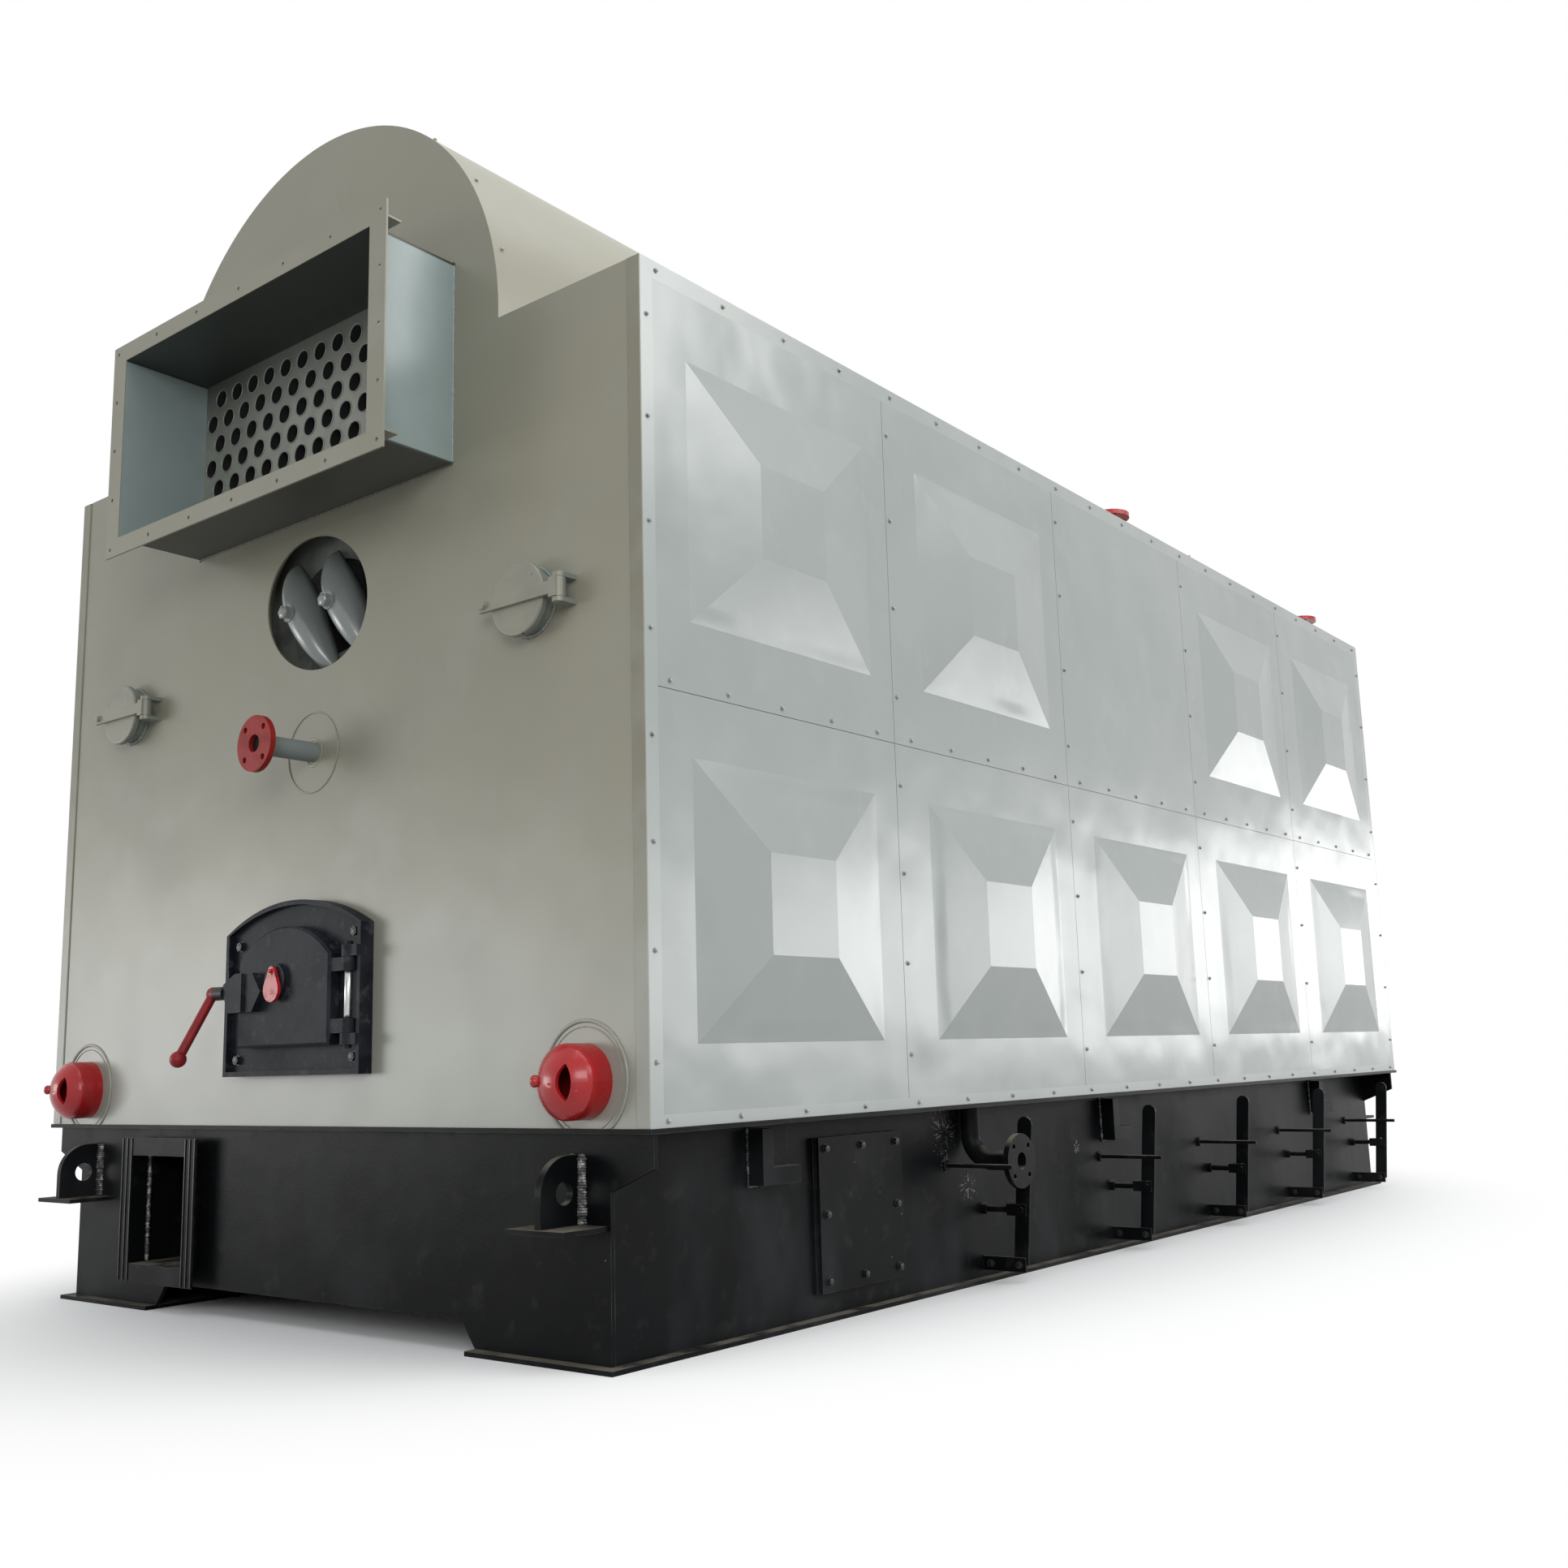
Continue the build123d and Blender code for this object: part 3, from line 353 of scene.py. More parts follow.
def place_effect(tree: Tree, effect: Effect, settings: dict[str, object]) -> Node:
    """Put an effect's group into a material with its own values."""
    return tree.node("ShaderNodeGroup", settings, node_tree=effects.group(effect))


# Finishes

@dataclass(frozen=True)
class Layer:
    """Something on the paint, such as dust or a worn patch, laid where its effect says.

    Args:
        effect: The shared effect that gives the mask.
        settings: Values for the effect's inputs.
        colour: The layer's own colour.
        roughness: The layer's own roughness.
        metallic: How metallic the layer is.
        strength: How far it covers what is under it.
    """

    effect: Effect
    settings: dict[str, object]
    colour: Colour
    roughness: float = 0.6
    metallic: float = 0.0
    strength: float = 1.0

    def mask(self, tree: Tree) -> Socket:
        """Write the layer's mask into a material's tree and return its socket."""
        mask = place_effect(tree, self.effect, self.settings).outputs["Mask"]
        return tree.maths("MULTIPLY", mask, self.strength)


@dataclass(frozen=True)
class Bump:
    """Relief too fine to model.

    Args:
        scale: The noise's scale.
        height: How high the relief is, in metres.
        detail: The noise's detail.
        stretch: How the pattern is stretched.
        within: Settings of a band that limits the relief, if any.
    """

    scale: float
    height: float
    detail: float = 2.0
    stretch: Triple = EVEN
    within: dict[str, object] | None = None

    def relief(self, tree: Tree) -> Socket:
        """Write the relief's height into a material's tree.

        Args:
            tree: The material's tree.

        Returns:
            The height, as a share of the bump's own.
        """
        settings = {"Scale": self.scale, "Detail": self.detail, "Stretch": self.stretch}
        height = place_effect(tree, Effect.CLOUD, settings).outputs["Height"]
        if self.within is None:
            return height
        limit = place_effect(tree, Effect.BAND, self.within).outputs["Mask"]
        return tree.maths("MULTIPLY", tree.maths("SUBTRACT", height, 0.5), limit)


@dataclass(frozen=True)
class Finish:
    """A surface finish, from which one material is built.

    Args:
        name: The material's name.
        colour: The base colour, linear.
        roughness: The base roughness.
        metallic: The base metallic value.
        specular: How strongly the paint mirrors, 0.5 for a common one.
        coat: The weight of a clear coat.
        coat_roughness: The clear coat's roughness.
        layers: What lies on the base, from the bottom up.
        bumps: The relief, coarse first.
    """

    name: str
    colour: Colour
    roughness: float
    metallic: float = 0.0
    specular: float = 0.5
    coat: float = 0.0
    coat_roughness: float = 0.1
    layers: tuple[Layer, ...] = ()
    bumps: tuple[Bump, ...] = ()

    def material(self) -> bpy.types.Material:
        """Return the finish's material, built on its first use."""
        made = bpy.data.materials.get(self.name)
        return made if made is not None else self.build()

    def build(self) -> bpy.types.Material:
        """Write the material's nodes.

        Returns:
            The new material.
        """
        material = bpy.data.materials.new(self.name)
        material.use_nodes = True
        tree = Tree(material.node_tree)
        values = {
            "Specular IOR Level": self.specular, "Coat Weight": self.coat,
            "Coat Roughness": self.coat_roughness, **self.covered(tree), **self.normal(tree),
        }
        for key, value in values.items():
            tree.put(tree.data.nodes["Principled BSDF"], key, value)
        return material

    def covered(self, tree: Tree) -> dict[str, object]:
        """Lay the layers over the base.

        Args:
            tree: The material's tree.

        Returns:
            The shader's colour, roughness and metallic value, as numbers or sockets.
        """
        values = {"Base Color": (*self.colour, 1.0), "Roughness": self.roughness, "Metallic": self.metallic}
        for layer in self.layers:
            mask = layer.mask(tree)
            values["Base Color"] = tree.mix_colour(mask, values["Base Color"], (*layer.colour, 1.0))
            if layer.roughness != self.roughness:
                values["Roughness"] = tree.mix_value(mask, values["Roughness"], layer.roughness)
            if layer.metallic != self.metallic:
                values["Metallic"] = tree.mix_value(mask, values["Metallic"], layer.metallic)
        return values

    def normal(self, tree: Tree) -> dict[str, Socket]:
        """Add the bumps up, each on the one before.

        Args:
            tree: The material's tree.

        Returns:
            The shader's normal, or nothing where there is no bump.
        """
        normal = {}
        for bump in self.bumps:
            inputs = {"Height": bump.relief(tree), "Distance": bump.height, "Strength": 1.0, **normal}
            normal = {"Normal": tree.node("ShaderNodeBump", inputs).outputs[0]}
        return normal


def edge_of(face: float, before: float, after: float, axis: Triple = (0, 1, 0)) -> dict[str, object]:
    """Return a band's settings that step near a face.

    Args:
        face: The face's place along the axis, on either side of the origin.
        before: Where the step starts, counted outwards from the face.
        after: Where it ends, counted the same way.
        axis: The axis that the face is square to.

    Returns:
        The settings.
    """
    return {"Axis": axis, "Low": face + before, "High": face + after}


ACROSS = (1, 0, 0)
UPRIGHT = (0, 0, 1)
DUCT_LOW, DUCT_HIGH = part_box("flue_duct")
DUCT_FACE = -DUCT_LOW.y
TUBE_SHEET_FACE = -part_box("tube_sheet")[0].y
TUBE_SHEET_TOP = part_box("tube_sheet")[1].z
PORT_FACE = -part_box("port_cover_right")[0].y
PIPE_FLANGE_FACE = -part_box("feed_pipe")[0].y
TRIM_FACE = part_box("trim_frame_right")[1].x

# Painted light: the casing's light grey paint with a beige tint that paints the warm light falling on the
# end faces.
CASING_WARM_LIT_BEIGE = Finish(
    "casing_beige_paint", (0.285, 0.272, 0.206), 0.34, specular=0.45,
    layers=(
        Layer(Effect.CLOUD, {"Scale": 1.1, "Low": 0.35, "High": 0.65},
              (0.235, 0.235, 0.186), 0.42, strength=0.7),
        Layer(Effect.CLOUD, {"Scale": 5.0, "Low": 0.48, "High": 0.72},
              (0.29, 0.286, 0.240), 0.32, strength=0.5),
        # Painted light: lighter and bluer towards the bottom, where the light from low down falls.
        Layer(Effect.BAND, {"Low": 1.5, "High": 0.55}, (0.315, 0.328, 0.290), 0.30, strength=0.75),
        # Painted shade: darker towards the top, out of that light.
        Layer(Effect.BAND, {"Low": 2.0, "High": 3.3}, (0.245, 0.240, 0.188), 0.42, strength=0.7),
        Layer(Effect.SCRATCH, {"Scale": 6.0, "Width": 0.006, "Share": 0.25},
              (0.19, 0.18, 0.145), 0.5, strength=0.25),
    ),
    bumps=(Bump(1.6, 0.012), Bump(160.0, 0.00012)),
)
SHEET_PLANE = edge_of(TRIM_FACE, 0.010, 0.0005, ACROSS)
# Painted light: the side sheets in the casing's light grey paint, with a blue tint that paints the cool
# light falling on the sides.
PANEL_COOL_LIT_BLUE = Finish(
    "panel_blue_paint", (0.300, 0.328, 0.314), 0.22, specular=0.6,
    layers=(
        Layer(Effect.CLOUD, {"Scale": 1.7, "Low": 0.40, "High": 0.66},
              (0.270, 0.298, 0.286), 0.27, strength=0.6),
        Layer(Effect.CLOUD, {"Scale": 7.0, "Low": 0.5, "High": 0.75},
              (0.325, 0.352, 0.336), 0.21, strength=0.5),
    ),
    bumps=(Bump(1.6, 0.022, within=SHEET_PLANE), Bump(5.5, 0.0016), Bump(140.0, 0.00006)),
)
# Painted light: the trim strips take the side sheets' cool tint, a little lighter.
TRIM_COOL_LIT_BLUE = replace(
    PANEL_COOL_LIT_BLUE, name="trim_blue_paint", colour=(0.345, 0.372, 0.355), bumps=(Bump(140.0, 0.00006),))
# Painted shade: a darker copy of the casing paint for the folded strips beside the corners, standing in for
# their shade.
FOLD_SHADE_BEIGE = replace(CASING_WARM_LIT_BEIGE, name="fold_beige_paint", colour=(0.215, 0.203, 0.148))
# Painted light: the duct in the casing's light grey paint, with a teal tint that paints the cool light on
# its sides.
DUCT_COOL_LIT_TEAL = Finish(
    "duct_teal_paint", (0.285, 0.350, 0.340), 0.32,
    layers=(
        Layer(Effect.CLOUD, {"Scale": 2.5, "Low": 0.4, "High": 0.65},
              (0.25, 0.305, 0.295), 0.36, strength=0.7),
        Layer(Effect.EDGE, {"Radius": 0.003, "Low": 0.03, "High": 0.3, "Bare": 0.35},
              (0.36, 0.38, 0.36), 0.5, strength=0.5),
        Layer(Effect.SCRATCH, {"Scale": 7.0, "Width": 0.008, "Share": 0.4},
              (0.15, 0.18, 0.17), 0.5, strength=0.35),
        # Painted shade: near black along the duct's top edge.
        Layer(Effect.BAND, edge_of(DUCT_HIGH.z, -0.010, -0.0055, UPRIGHT),
              (0.022, 0.026, 0.021), 0.45, strength=0.95),
        # Painted shade: dark along the duct's bottom edge and underside.
        Layer(Effect.BAND, edge_of(DUCT_LOW.z, 0.008, 0.0035, UPRIGHT),
              (0.040, 0.042, 0.031), 0.5, strength=0.95),
        # Painted light: the duct's front rim takes the warm beige that paints the light on the end faces.
        Layer(Effect.BAND, edge_of(DUCT_FACE, -0.0035, -0.0015), (0.255, 0.243, 0.185), 0.4),
    ),
    bumps=(Bump(2.5, 0.006), Bump(140.0, 0.0001)),
)
DRUM_GREY = Finish(
    "drum_grey_paint", (0.205, 0.230, 0.220), 0.24, specular=0.8,
    layers=(
        Layer(Effect.CLOUD, {"Scale": 6.0, "Low": 0.4, "High": 0.65},
              (0.170, 0.190, 0.182), 0.30, strength=0.5),
        Layer(Effect.EDGE, {"Radius": 0.004, "Low": 0.03, "High": 0.3, "Bare": 0.5},
              (0.40, 0.43, 0.40), 0.32, strength=0.6),
    ),
    bumps=(Bump(30.0, 0.0006), Bump(200.0, 0.0001)),
)
TUBE_PLATE = Finish(
    "tube_plate_paint", (0.250, 0.265, 0.225), 0.42,
    layers=(
        Layer(Effect.CLOUD, {"Scale": 9.0, "Low": 0.4, "High": 0.65},
              (0.185, 0.195, 0.165), 0.5, strength=0.7),
        # Painted shade: the tube sheet darkens towards its top, under the duct's roof.
        Layer(Effect.BAND, edge_of(TUBE_SHEET_TOP, -0.284, 0.006, UPRIGHT),
              (0.06, 0.066, 0.055), 0.6, strength=0.85),
    ),
    bumps=(Bump(40.0, 0.0006),),
)
SHADED_DRUM = Finish(
    "shaded_drum_paint", (0.150, 0.158, 0.140), 0.5, specular=0.25,
    layers=(
        Layer(Effect.CLOUD, {"Scale": 9.0, "Low": 0.4, "High": 0.6},
              (0.080, 0.085, 0.076), 0.6, strength=0.7),
        Layer(Effect.SPECK, {"Scale": 45.0, "Size": 0.14, "Share": 0.10},
              (0.20, 0.20, 0.18), 0.6, strength=0.6),
    ),
    bumps=(Bump(40.0, 0.0008),),
)
# Painted shade: near black for hollows, the manhole seen past its yokes and the deep end of the feed pipe's
# bore.
HOLLOW_SHADE_BLACK = Finish("manhole_cover_black", (0.009, 0.010, 0.009), 0.7, specular=0.1)
PORT_GREY = Finish(
    "port_grey_paint", (0.262, 0.256, 0.200), 0.36,
    layers=(
        # Painted light: behind the cover's face, the neck and rim take a cool green-grey tint for the light
        # on the sides, while the face keeps the end's warm beige.
        Layer(Effect.BAND, edge_of(PORT_FACE, -0.0145, -0.0205), (0.185, 0.210, 0.190), 0.42),
        Layer(Effect.CLOUD, {"Scale": 9.0, "Low": 0.42, "High": 0.65},
              (0.200, 0.205, 0.172), 0.45, strength=0.6),
        Layer(Effect.SPECK, {"Scale": 26.0, "Size": 0.12, "Share": 0.06}, (0.02, 0.02, 0.02), 0.6),
        Layer(Effect.EDGE, {"Radius": 0.002, "Low": 0.03, "High": 0.3, "Bare": 0.5},
              (0.40, 0.43, 0.42), 0.32, strength=0.7),
    ),
    bumps=(Bump(60.0, 0.0004),),
)
BASE_BLACK = Finish(
    "base_black_paint", (0.0045, 0.0050, 0.0056), 0.34, specular=0.06,
    layers=(
        Layer(Effect.CLOUD, {"Scale": 3.0, "Low": 0.46, "High": 0.72, "Stretch": (1, 1, 0.45)},
              (0.020, 0.021, 0.0225), 0.46, strength=0.8),
        Layer(Effect.CLOUD, {"Scale": 14.0, "Low": 0.55, "High": 0.75},
              (0.028, 0.028, 0.028), 0.6, strength=0.4),
        Layer(Effect.SCRATCH, {"Scale": 2.5, "Width": 0.0022, "Share": 0.25, "Stretch": (1, 1, 0.15)},
              (0.07, 0.07, 0.07), 0.5, strength=0.4),
        Layer(Effect.SPECK, {"Scale": 24.0, "Size": 0.06, "Share": 0.05},
              (0.26, 0.26, 0.25), 0.6, strength=0.7),
        Layer(Effect.EDGE, {"Radius": 0.003, "Low": 0.03, "High": 0.3, "Bare": 0.42},
              (0.13, 0.13, 0.125), 0.42, 0.2, strength=0.75),
        Layer(Effect.DUST, {"Scale": 7.0, "Low": 0.3, "High": 0.55},
              (0.17, 0.155, 0.125), 0.85, strength=0.8),
    ),
    bumps=(Bump(3.5, 0.004), Bump(120.0, 0.00025, 4.0)),
)
CAST_BLACK = Finish(
    "cast_black_paint", (0.009, 0.011, 0.015), 0.48, specular=0.10,
    layers=(
        Layer(Effect.CLOUD, {"Scale": 9.0, "Low": 0.40, "High": 0.66, "Detail": 5.0},
              (0.026, 0.028, 0.033), 0.5, strength=0.8),
        Layer(Effect.CLOUD, {"Scale": 28.0, "Low": 0.56, "High": 0.72, "Detail": 4.0},
              (0.085, 0.086, 0.088), 0.6, strength=0.5),
        Layer(Effect.SPECK, {"Scale": 90.0, "Size": 0.16, "Share": 0.12},
              (0.13, 0.13, 0.14), 0.5, strength=0.6),
        Layer(Effect.EDGE, {"Radius": 0.003, "Low": 0.02, "High": 0.25, "Bare": 0.5},
              (0.11, 0.115, 0.125), 0.38, 0.2, strength=0.7),
    ),
    bumps=(Bump(38.0, 0.0010, 4.0), Bump(320.0, 0.00035, 3.0)),
)
SIGNAL_RED = Finish(
    "signal_red_paint", (0.42, 0.011, 0.014), 0.27, specular=0.35, coat=0.25, coat_roughness=0.12,
    layers=(
        Layer(Effect.CLOUD, {"Scale": 14.0, "Low": 0.45, "High": 0.7},
              (0.31, 0.012, 0.014), 0.38, strength=0.7),
        Layer(Effect.EDGE, {"Radius": 0.0025, "Low": 0.03, "High": 0.3, "Bare": 0.32},
              (0.14, 0.035, 0.03), 0.5, strength=0.5),
        Layer(Effect.SPECK, {"Scale": 60.0, "Size": 0.10, "Share": 0.05},
              (0.75, 0.35, 0.33), 0.4, strength=0.6),
    ),
    bumps=(Bump(24.0, 0.0008), Bump(200.0, 0.0001)),
)
HANDLE_RED = Finish(
    "handle_red_paint", (0.27, 0.012, 0.015), 0.40, specular=0.25,
    layers=(
        Layer(Effect.CLOUD, {"Scale": 26.0, "Low": 0.44, "High": 0.66},
              (0.18, 0.012, 0.014), 0.5, strength=0.8),
        Layer(Effect.SCRATCH, {"Scale": 30.0, "Width": 0.02, "Share": 0.6},
              (0.09, 0.04, 0.035), 0.5, strength=0.5),
        Layer(Effect.BAND, {"Axis": (1, 0, 0.15), "Low": 0.165, "High": 0.155},
              (0.016, 0.016, 0.018), 0.45, 0.2),
    ),
    bumps=(Bump(90.0, 0.0006, 4.0),),
)
FLAP_RED = Finish(
    "flap_red_paint", (0.46, 0.016, 0.020), 0.34, specular=0.3, coat=0.15,
    layers=(
        Layer(Effect.CLOUD, {"Scale": 40.0, "Low": 0.5, "High": 0.62},
              (0.26, 0.010, 0.013), 0.5, strength=0.7),
    ),
    bumps=(Bump(60.0, 0.0006),),
)
FLANGE_RED = Finish(
    "flange_red_paint", (0.29, 0.014, 0.012), 0.42, specular=0.2,
    layers=(
        Layer(Effect.CLOUD, {"Scale": 22.0, "Low": 0.42, "High": 0.68},
              (0.21, 0.013, 0.011), 0.52, strength=0.8),
        Layer(Effect.BAND, edge_of(PIPE_FLANGE_FACE, -0.0155, -0.0195), (0.21, 0.24, 0.235), 0.42),
    ),
    bumps=(Bump(60.0, 0.0005),),
)
REFRACTORY = Finish(
    "sooty_brick", (0.085, 0.070, 0.058), 0.95,
    layers=(
        Layer(Effect.CLOUD, {"Scale": 8.0, "Low": 0.35, "High": 0.65}, (0.022, 0.020, 0.018), 0.95),
    ),
    bumps=(Bump(30.0, 0.004, 4.0),),
)
SCREW_GREY = Finish(
    "screw_grey_zinc", (0.33, 0.34, 0.33), 0.36, 0.3,
    layers=(
        Layer(Effect.CLOUD, {"Scale": 120.0, "Low": 0.5, "High": 0.7}, (0.08, 0.08, 0.08), 0.5, 0.5),
    ),
    bumps=(Bump(400.0, 0.0001),),
)
BOLT_BLACK = Finish(
    "bolt_black_paint", (0.014, 0.014, 0.015), 0.34, 0.1, specular=0.3,
    layers=(
        Layer(Effect.EDGE, {"Radius": 0.002, "Low": 0.02, "High": 0.25, "Bare": 0.5},
              (0.15, 0.15, 0.15), 0.38, 0.4, strength=0.8),
    ),
    bumps=(Bump(300.0, 0.0002),),
)
WELD_BLACK = Finish(
    "weld_black_paint", (0.016, 0.016, 0.017), 0.32, 0.1, specular=0.4,
    layers=(
        Layer(Effect.CLOUD, {"Scale": 70.0, "Low": 0.45, "High": 0.62, "Detail": 5.0},
              (0.16, 0.16, 0.16), 0.42, 0.3, strength=0.8),
    ),
    bumps=(Bump(220.0, 0.0012, 4.0),),
)
WELD_BARE = Finish(
    "weld_bare_metal", (0.28, 0.28, 0.27), 0.42, 0.6,
    layers=(
        Layer(Effect.CLOUD, {"Scale": 60.0, "Low": 0.38, "High": 0.55, "Detail": 5.0},
              (0.015, 0.015, 0.015), 0.5, 0.1, strength=0.9),
    ),
    bumps=(Bump(260.0, 0.0012, 4.0),),
)
BRIGHT_STEEL = Finish(
    "bright_pin_steel", (0.52, 0.53, 0.53), 0.26, 0.95,
    layers=(
        Layer(Effect.CLOUD, {"Scale": 90.0, "Low": 0.5, "High": 0.7, "Stretch": (1, 1, 0.2)},
              (0.16, 0.15, 0.14), 0.5, 0.5, strength=0.6),
    ),
    bumps=(Bump(260.0, 0.0001, stretch=(1, 1, 0.1)),),
)
TUBE_STEEL = Finish(
    "tube_end_steel", (0.27, 0.28, 0.25), 0.4, 0.2,
    layers=(
        # Painted shade: near black inside the tubes, past the sheet's face.
        Layer(Effect.BAND, edge_of(TUBE_SHEET_FACE, 0.0003, -0.0013), (0.003, 0.003, 0.003), 0.9, 0.0),
    ),
    bumps=(Bump(180.0, 0.0003),),
)
PALE_FLOOR = Finish("pale_floor", (0.30, 0.30, 0.29), 0.8, specular=0.1, bumps=(Bump(3.0, 0.0004),))


# Pieces from mesh code

def piece_from(name: str, mesh: Mesh, finish: Finish, body: str = "root",
               smooth: bool = False) -> Piece:
    """Make a finished piece of a mesh that is already in its place.

    Args:
        name: The piece's name.
        mesh: Its mesh, in the model's frame.
        finish: Its finish.
        body: The body that it rides on.
        smooth: Whether its faces are shaded smooth.

    Returns:
        The new object.
    """
    mesh.materials.clear()
    mesh.materials.append(finish.material())
    for face in mesh.polygons:
        face.use_smooth = smooth
    piece = bpy.data.objects.new(name, mesh)
    bpy.context.scene.collection.objects.link(piece)
    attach(piece, body)
    log.info("%s: %d faces on %s", name, len(mesh.polygons), body)
    return piece


def mesh_of(name: str, shape: Shape) -> Mesh:
    """Turn a bmesh into a mesh whose faces point outwards.

    Args:
        name: The mesh's name.
        shape: The bmesh, which is freed.

    Returns:
        The mesh.
    """
    bmesh.ops.remove_doubles(shape, verts=shape.verts, dist=1e-6)
    bmesh.ops.recalc_face_normals(shape, faces=shape.faces)
    mesh = bpy.data.meshes.new(name)
    shape.to_mesh(mesh)
    shape.free()
    return mesh


def turned(shape: Shape, profile: list[tuple[float, float]], centre: Vector, axis: Vector,
           steps: int = 48) -> None:
    """Add a turned body to a shape.

    Args:
        shape: The bmesh that it goes into.
        profile: Its (radius, height) points, a closed loop or from axis to axis.
        centre: The point on the axis at height 0.
        axis: The direction of the height.
        steps: How many flats the turn has.
    """
    turn = axis.to_track_quat("Z", "Y").to_matrix()
    rings = []
    for radius, height in profile:
        if radius < 1e-9:
            rings.append([shape.verts.new(centre + turn @ Vector((0, 0, height)))])
            continue
        ring = []
        for step in range(steps):
            angle = 2 * math.pi * step / steps
            point = Vector((radius * math.cos(angle), radius * math.sin(angle), height))
            ring.append(shape.verts.new(centre + turn @ point))
        rings.append(ring)
    closed = len(rings[0]) > 1 and len(rings[-1]) > 1
    pairs = list(zip(rings, rings[1:])) + ([(rings[-1], rings[0])] if closed else [])
    for low, high in pairs:
        for step in range(steps):
            after = (step + 1) % steps
            corners = [low[step % len(low)], low[after % len(low)],
                       high[after % len(high)], high[step % len(high)]]
            kept = list(dict.fromkeys(corners))
            if len(kept) > 2:
                shape.faces.new(kept)


def rounded_ring(shape: Shape, centre: Vector, radius: float, width: float, height: float) -> None:
    """Add a low ring with rounded shoulders that stands on the near end's face.

    Args:
        shape: The bmesh that it goes into.
        centre: Its middle, on the face.
        radius: The radius at the middle of its width.
        width: Its width.
        height: How far it stands up.
    """
    shoulder = height * 0.4
    profile = [
        (radius - width / 2, 0.0), (radius - width / 2, shoulder), (radius - width / 4, height),
        (radius + width / 4, height), (radius + width / 2, shoulder), (radius + width / 2, 0.0),
    ]
    turned(shape, profile, centre, TO_NEAR, 72)


def prism(shape: Shape, outline: list[Vector], along: Vector) -> None:
    """Add an outline pushed along a vector, closed at both ends.

    Args:
        shape: The bmesh that it goes into.
        outline: The outline's corners, in order.
        along: The push.
    """
    low = [shape.verts.new(point) for point in outline]
    high = [shape.verts.new(point + along) for point in outline]
    shape.faces.new(low)
    shape.faces.new(high[::-1])
    for here in range(len(low)):
        there = (here + 1) % len(low)
        shape.faces.new([low[here], low[there], high[there], high[here]])


# Pieces from Geometry Nodes

@dataclass(frozen=True)
class Mark:
    """A place for a repeated small part.

    Args:
        at: Where it is.
        facing: The direction that its top looks in.
    """

    at: Vector
    facing: Vector = TO_NEAR


def faced_mesh(points: list[Vector], edges: list[tuple[int, int]], facings: list[Vector]) -> Mesh:
    """Make a mesh of points and edges with a facing vector on each point.

    Args:
        points: The points.
        edges: Pairs of points that are joined.
        facings: The direction that each point faces.

    Returns:
        The mesh.
    """
    mesh = bpy.data.meshes.new("carrier")
    mesh.from_pydata(points, edges, [])
    facing = mesh.attributes.new("facing", "FLOAT_VECTOR", "POINT")
    for item, direction in zip(facing.data, facings):
        item.vector = direction
    return mesh


def marks_mesh(marks: list[Mark]) -> Mesh:
    """Return a mesh of loose points for the marks."""
    return faced_mesh([mark.at for mark in marks], [], [mark.facing for mark in marks])


def runs_mesh(runs: list[Run]) -> Mesh:
    """Make a mesh of polylines.

    Args:
        runs: Each line's points and the direction that they face.

    Returns:
        The mesh.
    """
    points, edges, facings = [], [], []
    for line, facing in runs:
        start = len(points)
        points += line
        facings += [facing] * len(line)
        edges += [(start + n, start + n + 1) for n in range(len(line) - 1)]
    return faced_mesh(points, edges, facings)


def grown(name: str, carrier_mesh: Mesh, tree: Tree, settings: dict[str, float], finish: Finish) -> Mesh:
    """Run a geometry tree on a carrier and make the result a plain mesh.

    Args:
        name: The name of the mesh.
        carrier_mesh: The points or lines that the tree works from.
        tree: The geometry tree.
        settings: Values for the tree's named inputs.
        finish: The finish that Set Material takes.

    Returns:
        The realized mesh.
    """
    carrier = bpy.data.objects.new(name + "_carrier", carrier_mesh)
    bpy.context.scene.collection.objects.link(carrier)
    modifier = carrier.modifiers.new("grow", "NODES")
    modifier.node_group = tree.data
    identifiers = {
        item.name: item.identifier for item in tree.data.interface.items_tree
        if item.item_type == "SOCKET" and item.in_out == "INPUT"
    }
    for key, value in {**settings, "Material": finish.material()}.items():
        modifier[identifiers[key]] = value
    depsgraph = bpy.context.evaluated_depsgraph_get()
    mesh = bpy.data.meshes.new_from_object(carrier.evaluated_get(depsgraph), depsgraph=depsgraph)
    mesh.name = name
    carrier.modifiers.remove(modifier)
    bpy.data.objects.remove(carrier)
    return mesh


class Sizes:
    """Sizes whose names, with capitals, are the inputs of a geometry tree."""

    def inputs(self) -> dict[str, float]:
        """Return each size under the name of its input."""
        return {item.name.replace("_", " ").title(): getattr(self, item.name) for item in fields(self)}


@dataclass(frozen=True)
class Fastener(Sizes):
    """The sizes of a bolt, nut or screw on its washer.

    Args:
        washer_radius: Outside radius of the washer.
        washer_height: Thickness of the washer.
        head_radius: Radius of the head over its corners.
        head_height: Height of the head.
        dome_height: Height of the dome on the head.
    """

    washer_radius: float
    washer_height: float
    head_radius: float
    head_height: float
    dome_height: float


@dataclass(frozen=True)
class Bead(Sizes):
    """The sizes of a weld bead.

    Args:
        width: Its width.
        height: Its height at a ripple.
        step: The spacing of its ripples.
    """

    width: float
    height: float
    step: float


@dataclass(frozen=True)
class TubeEnd(Sizes):
    """The sizes of a tube end and the weld round it.

    Args:
        tube_radius: Outside radius of the tube.
        tube_wall: Thickness of its wall.
        tube_length: How far the tube runs in.
        weld_radius: Radius of the weld's section.
    """

    tube_radius: float
    tube_wall: float
    tube_length: float
    weld_radius: float


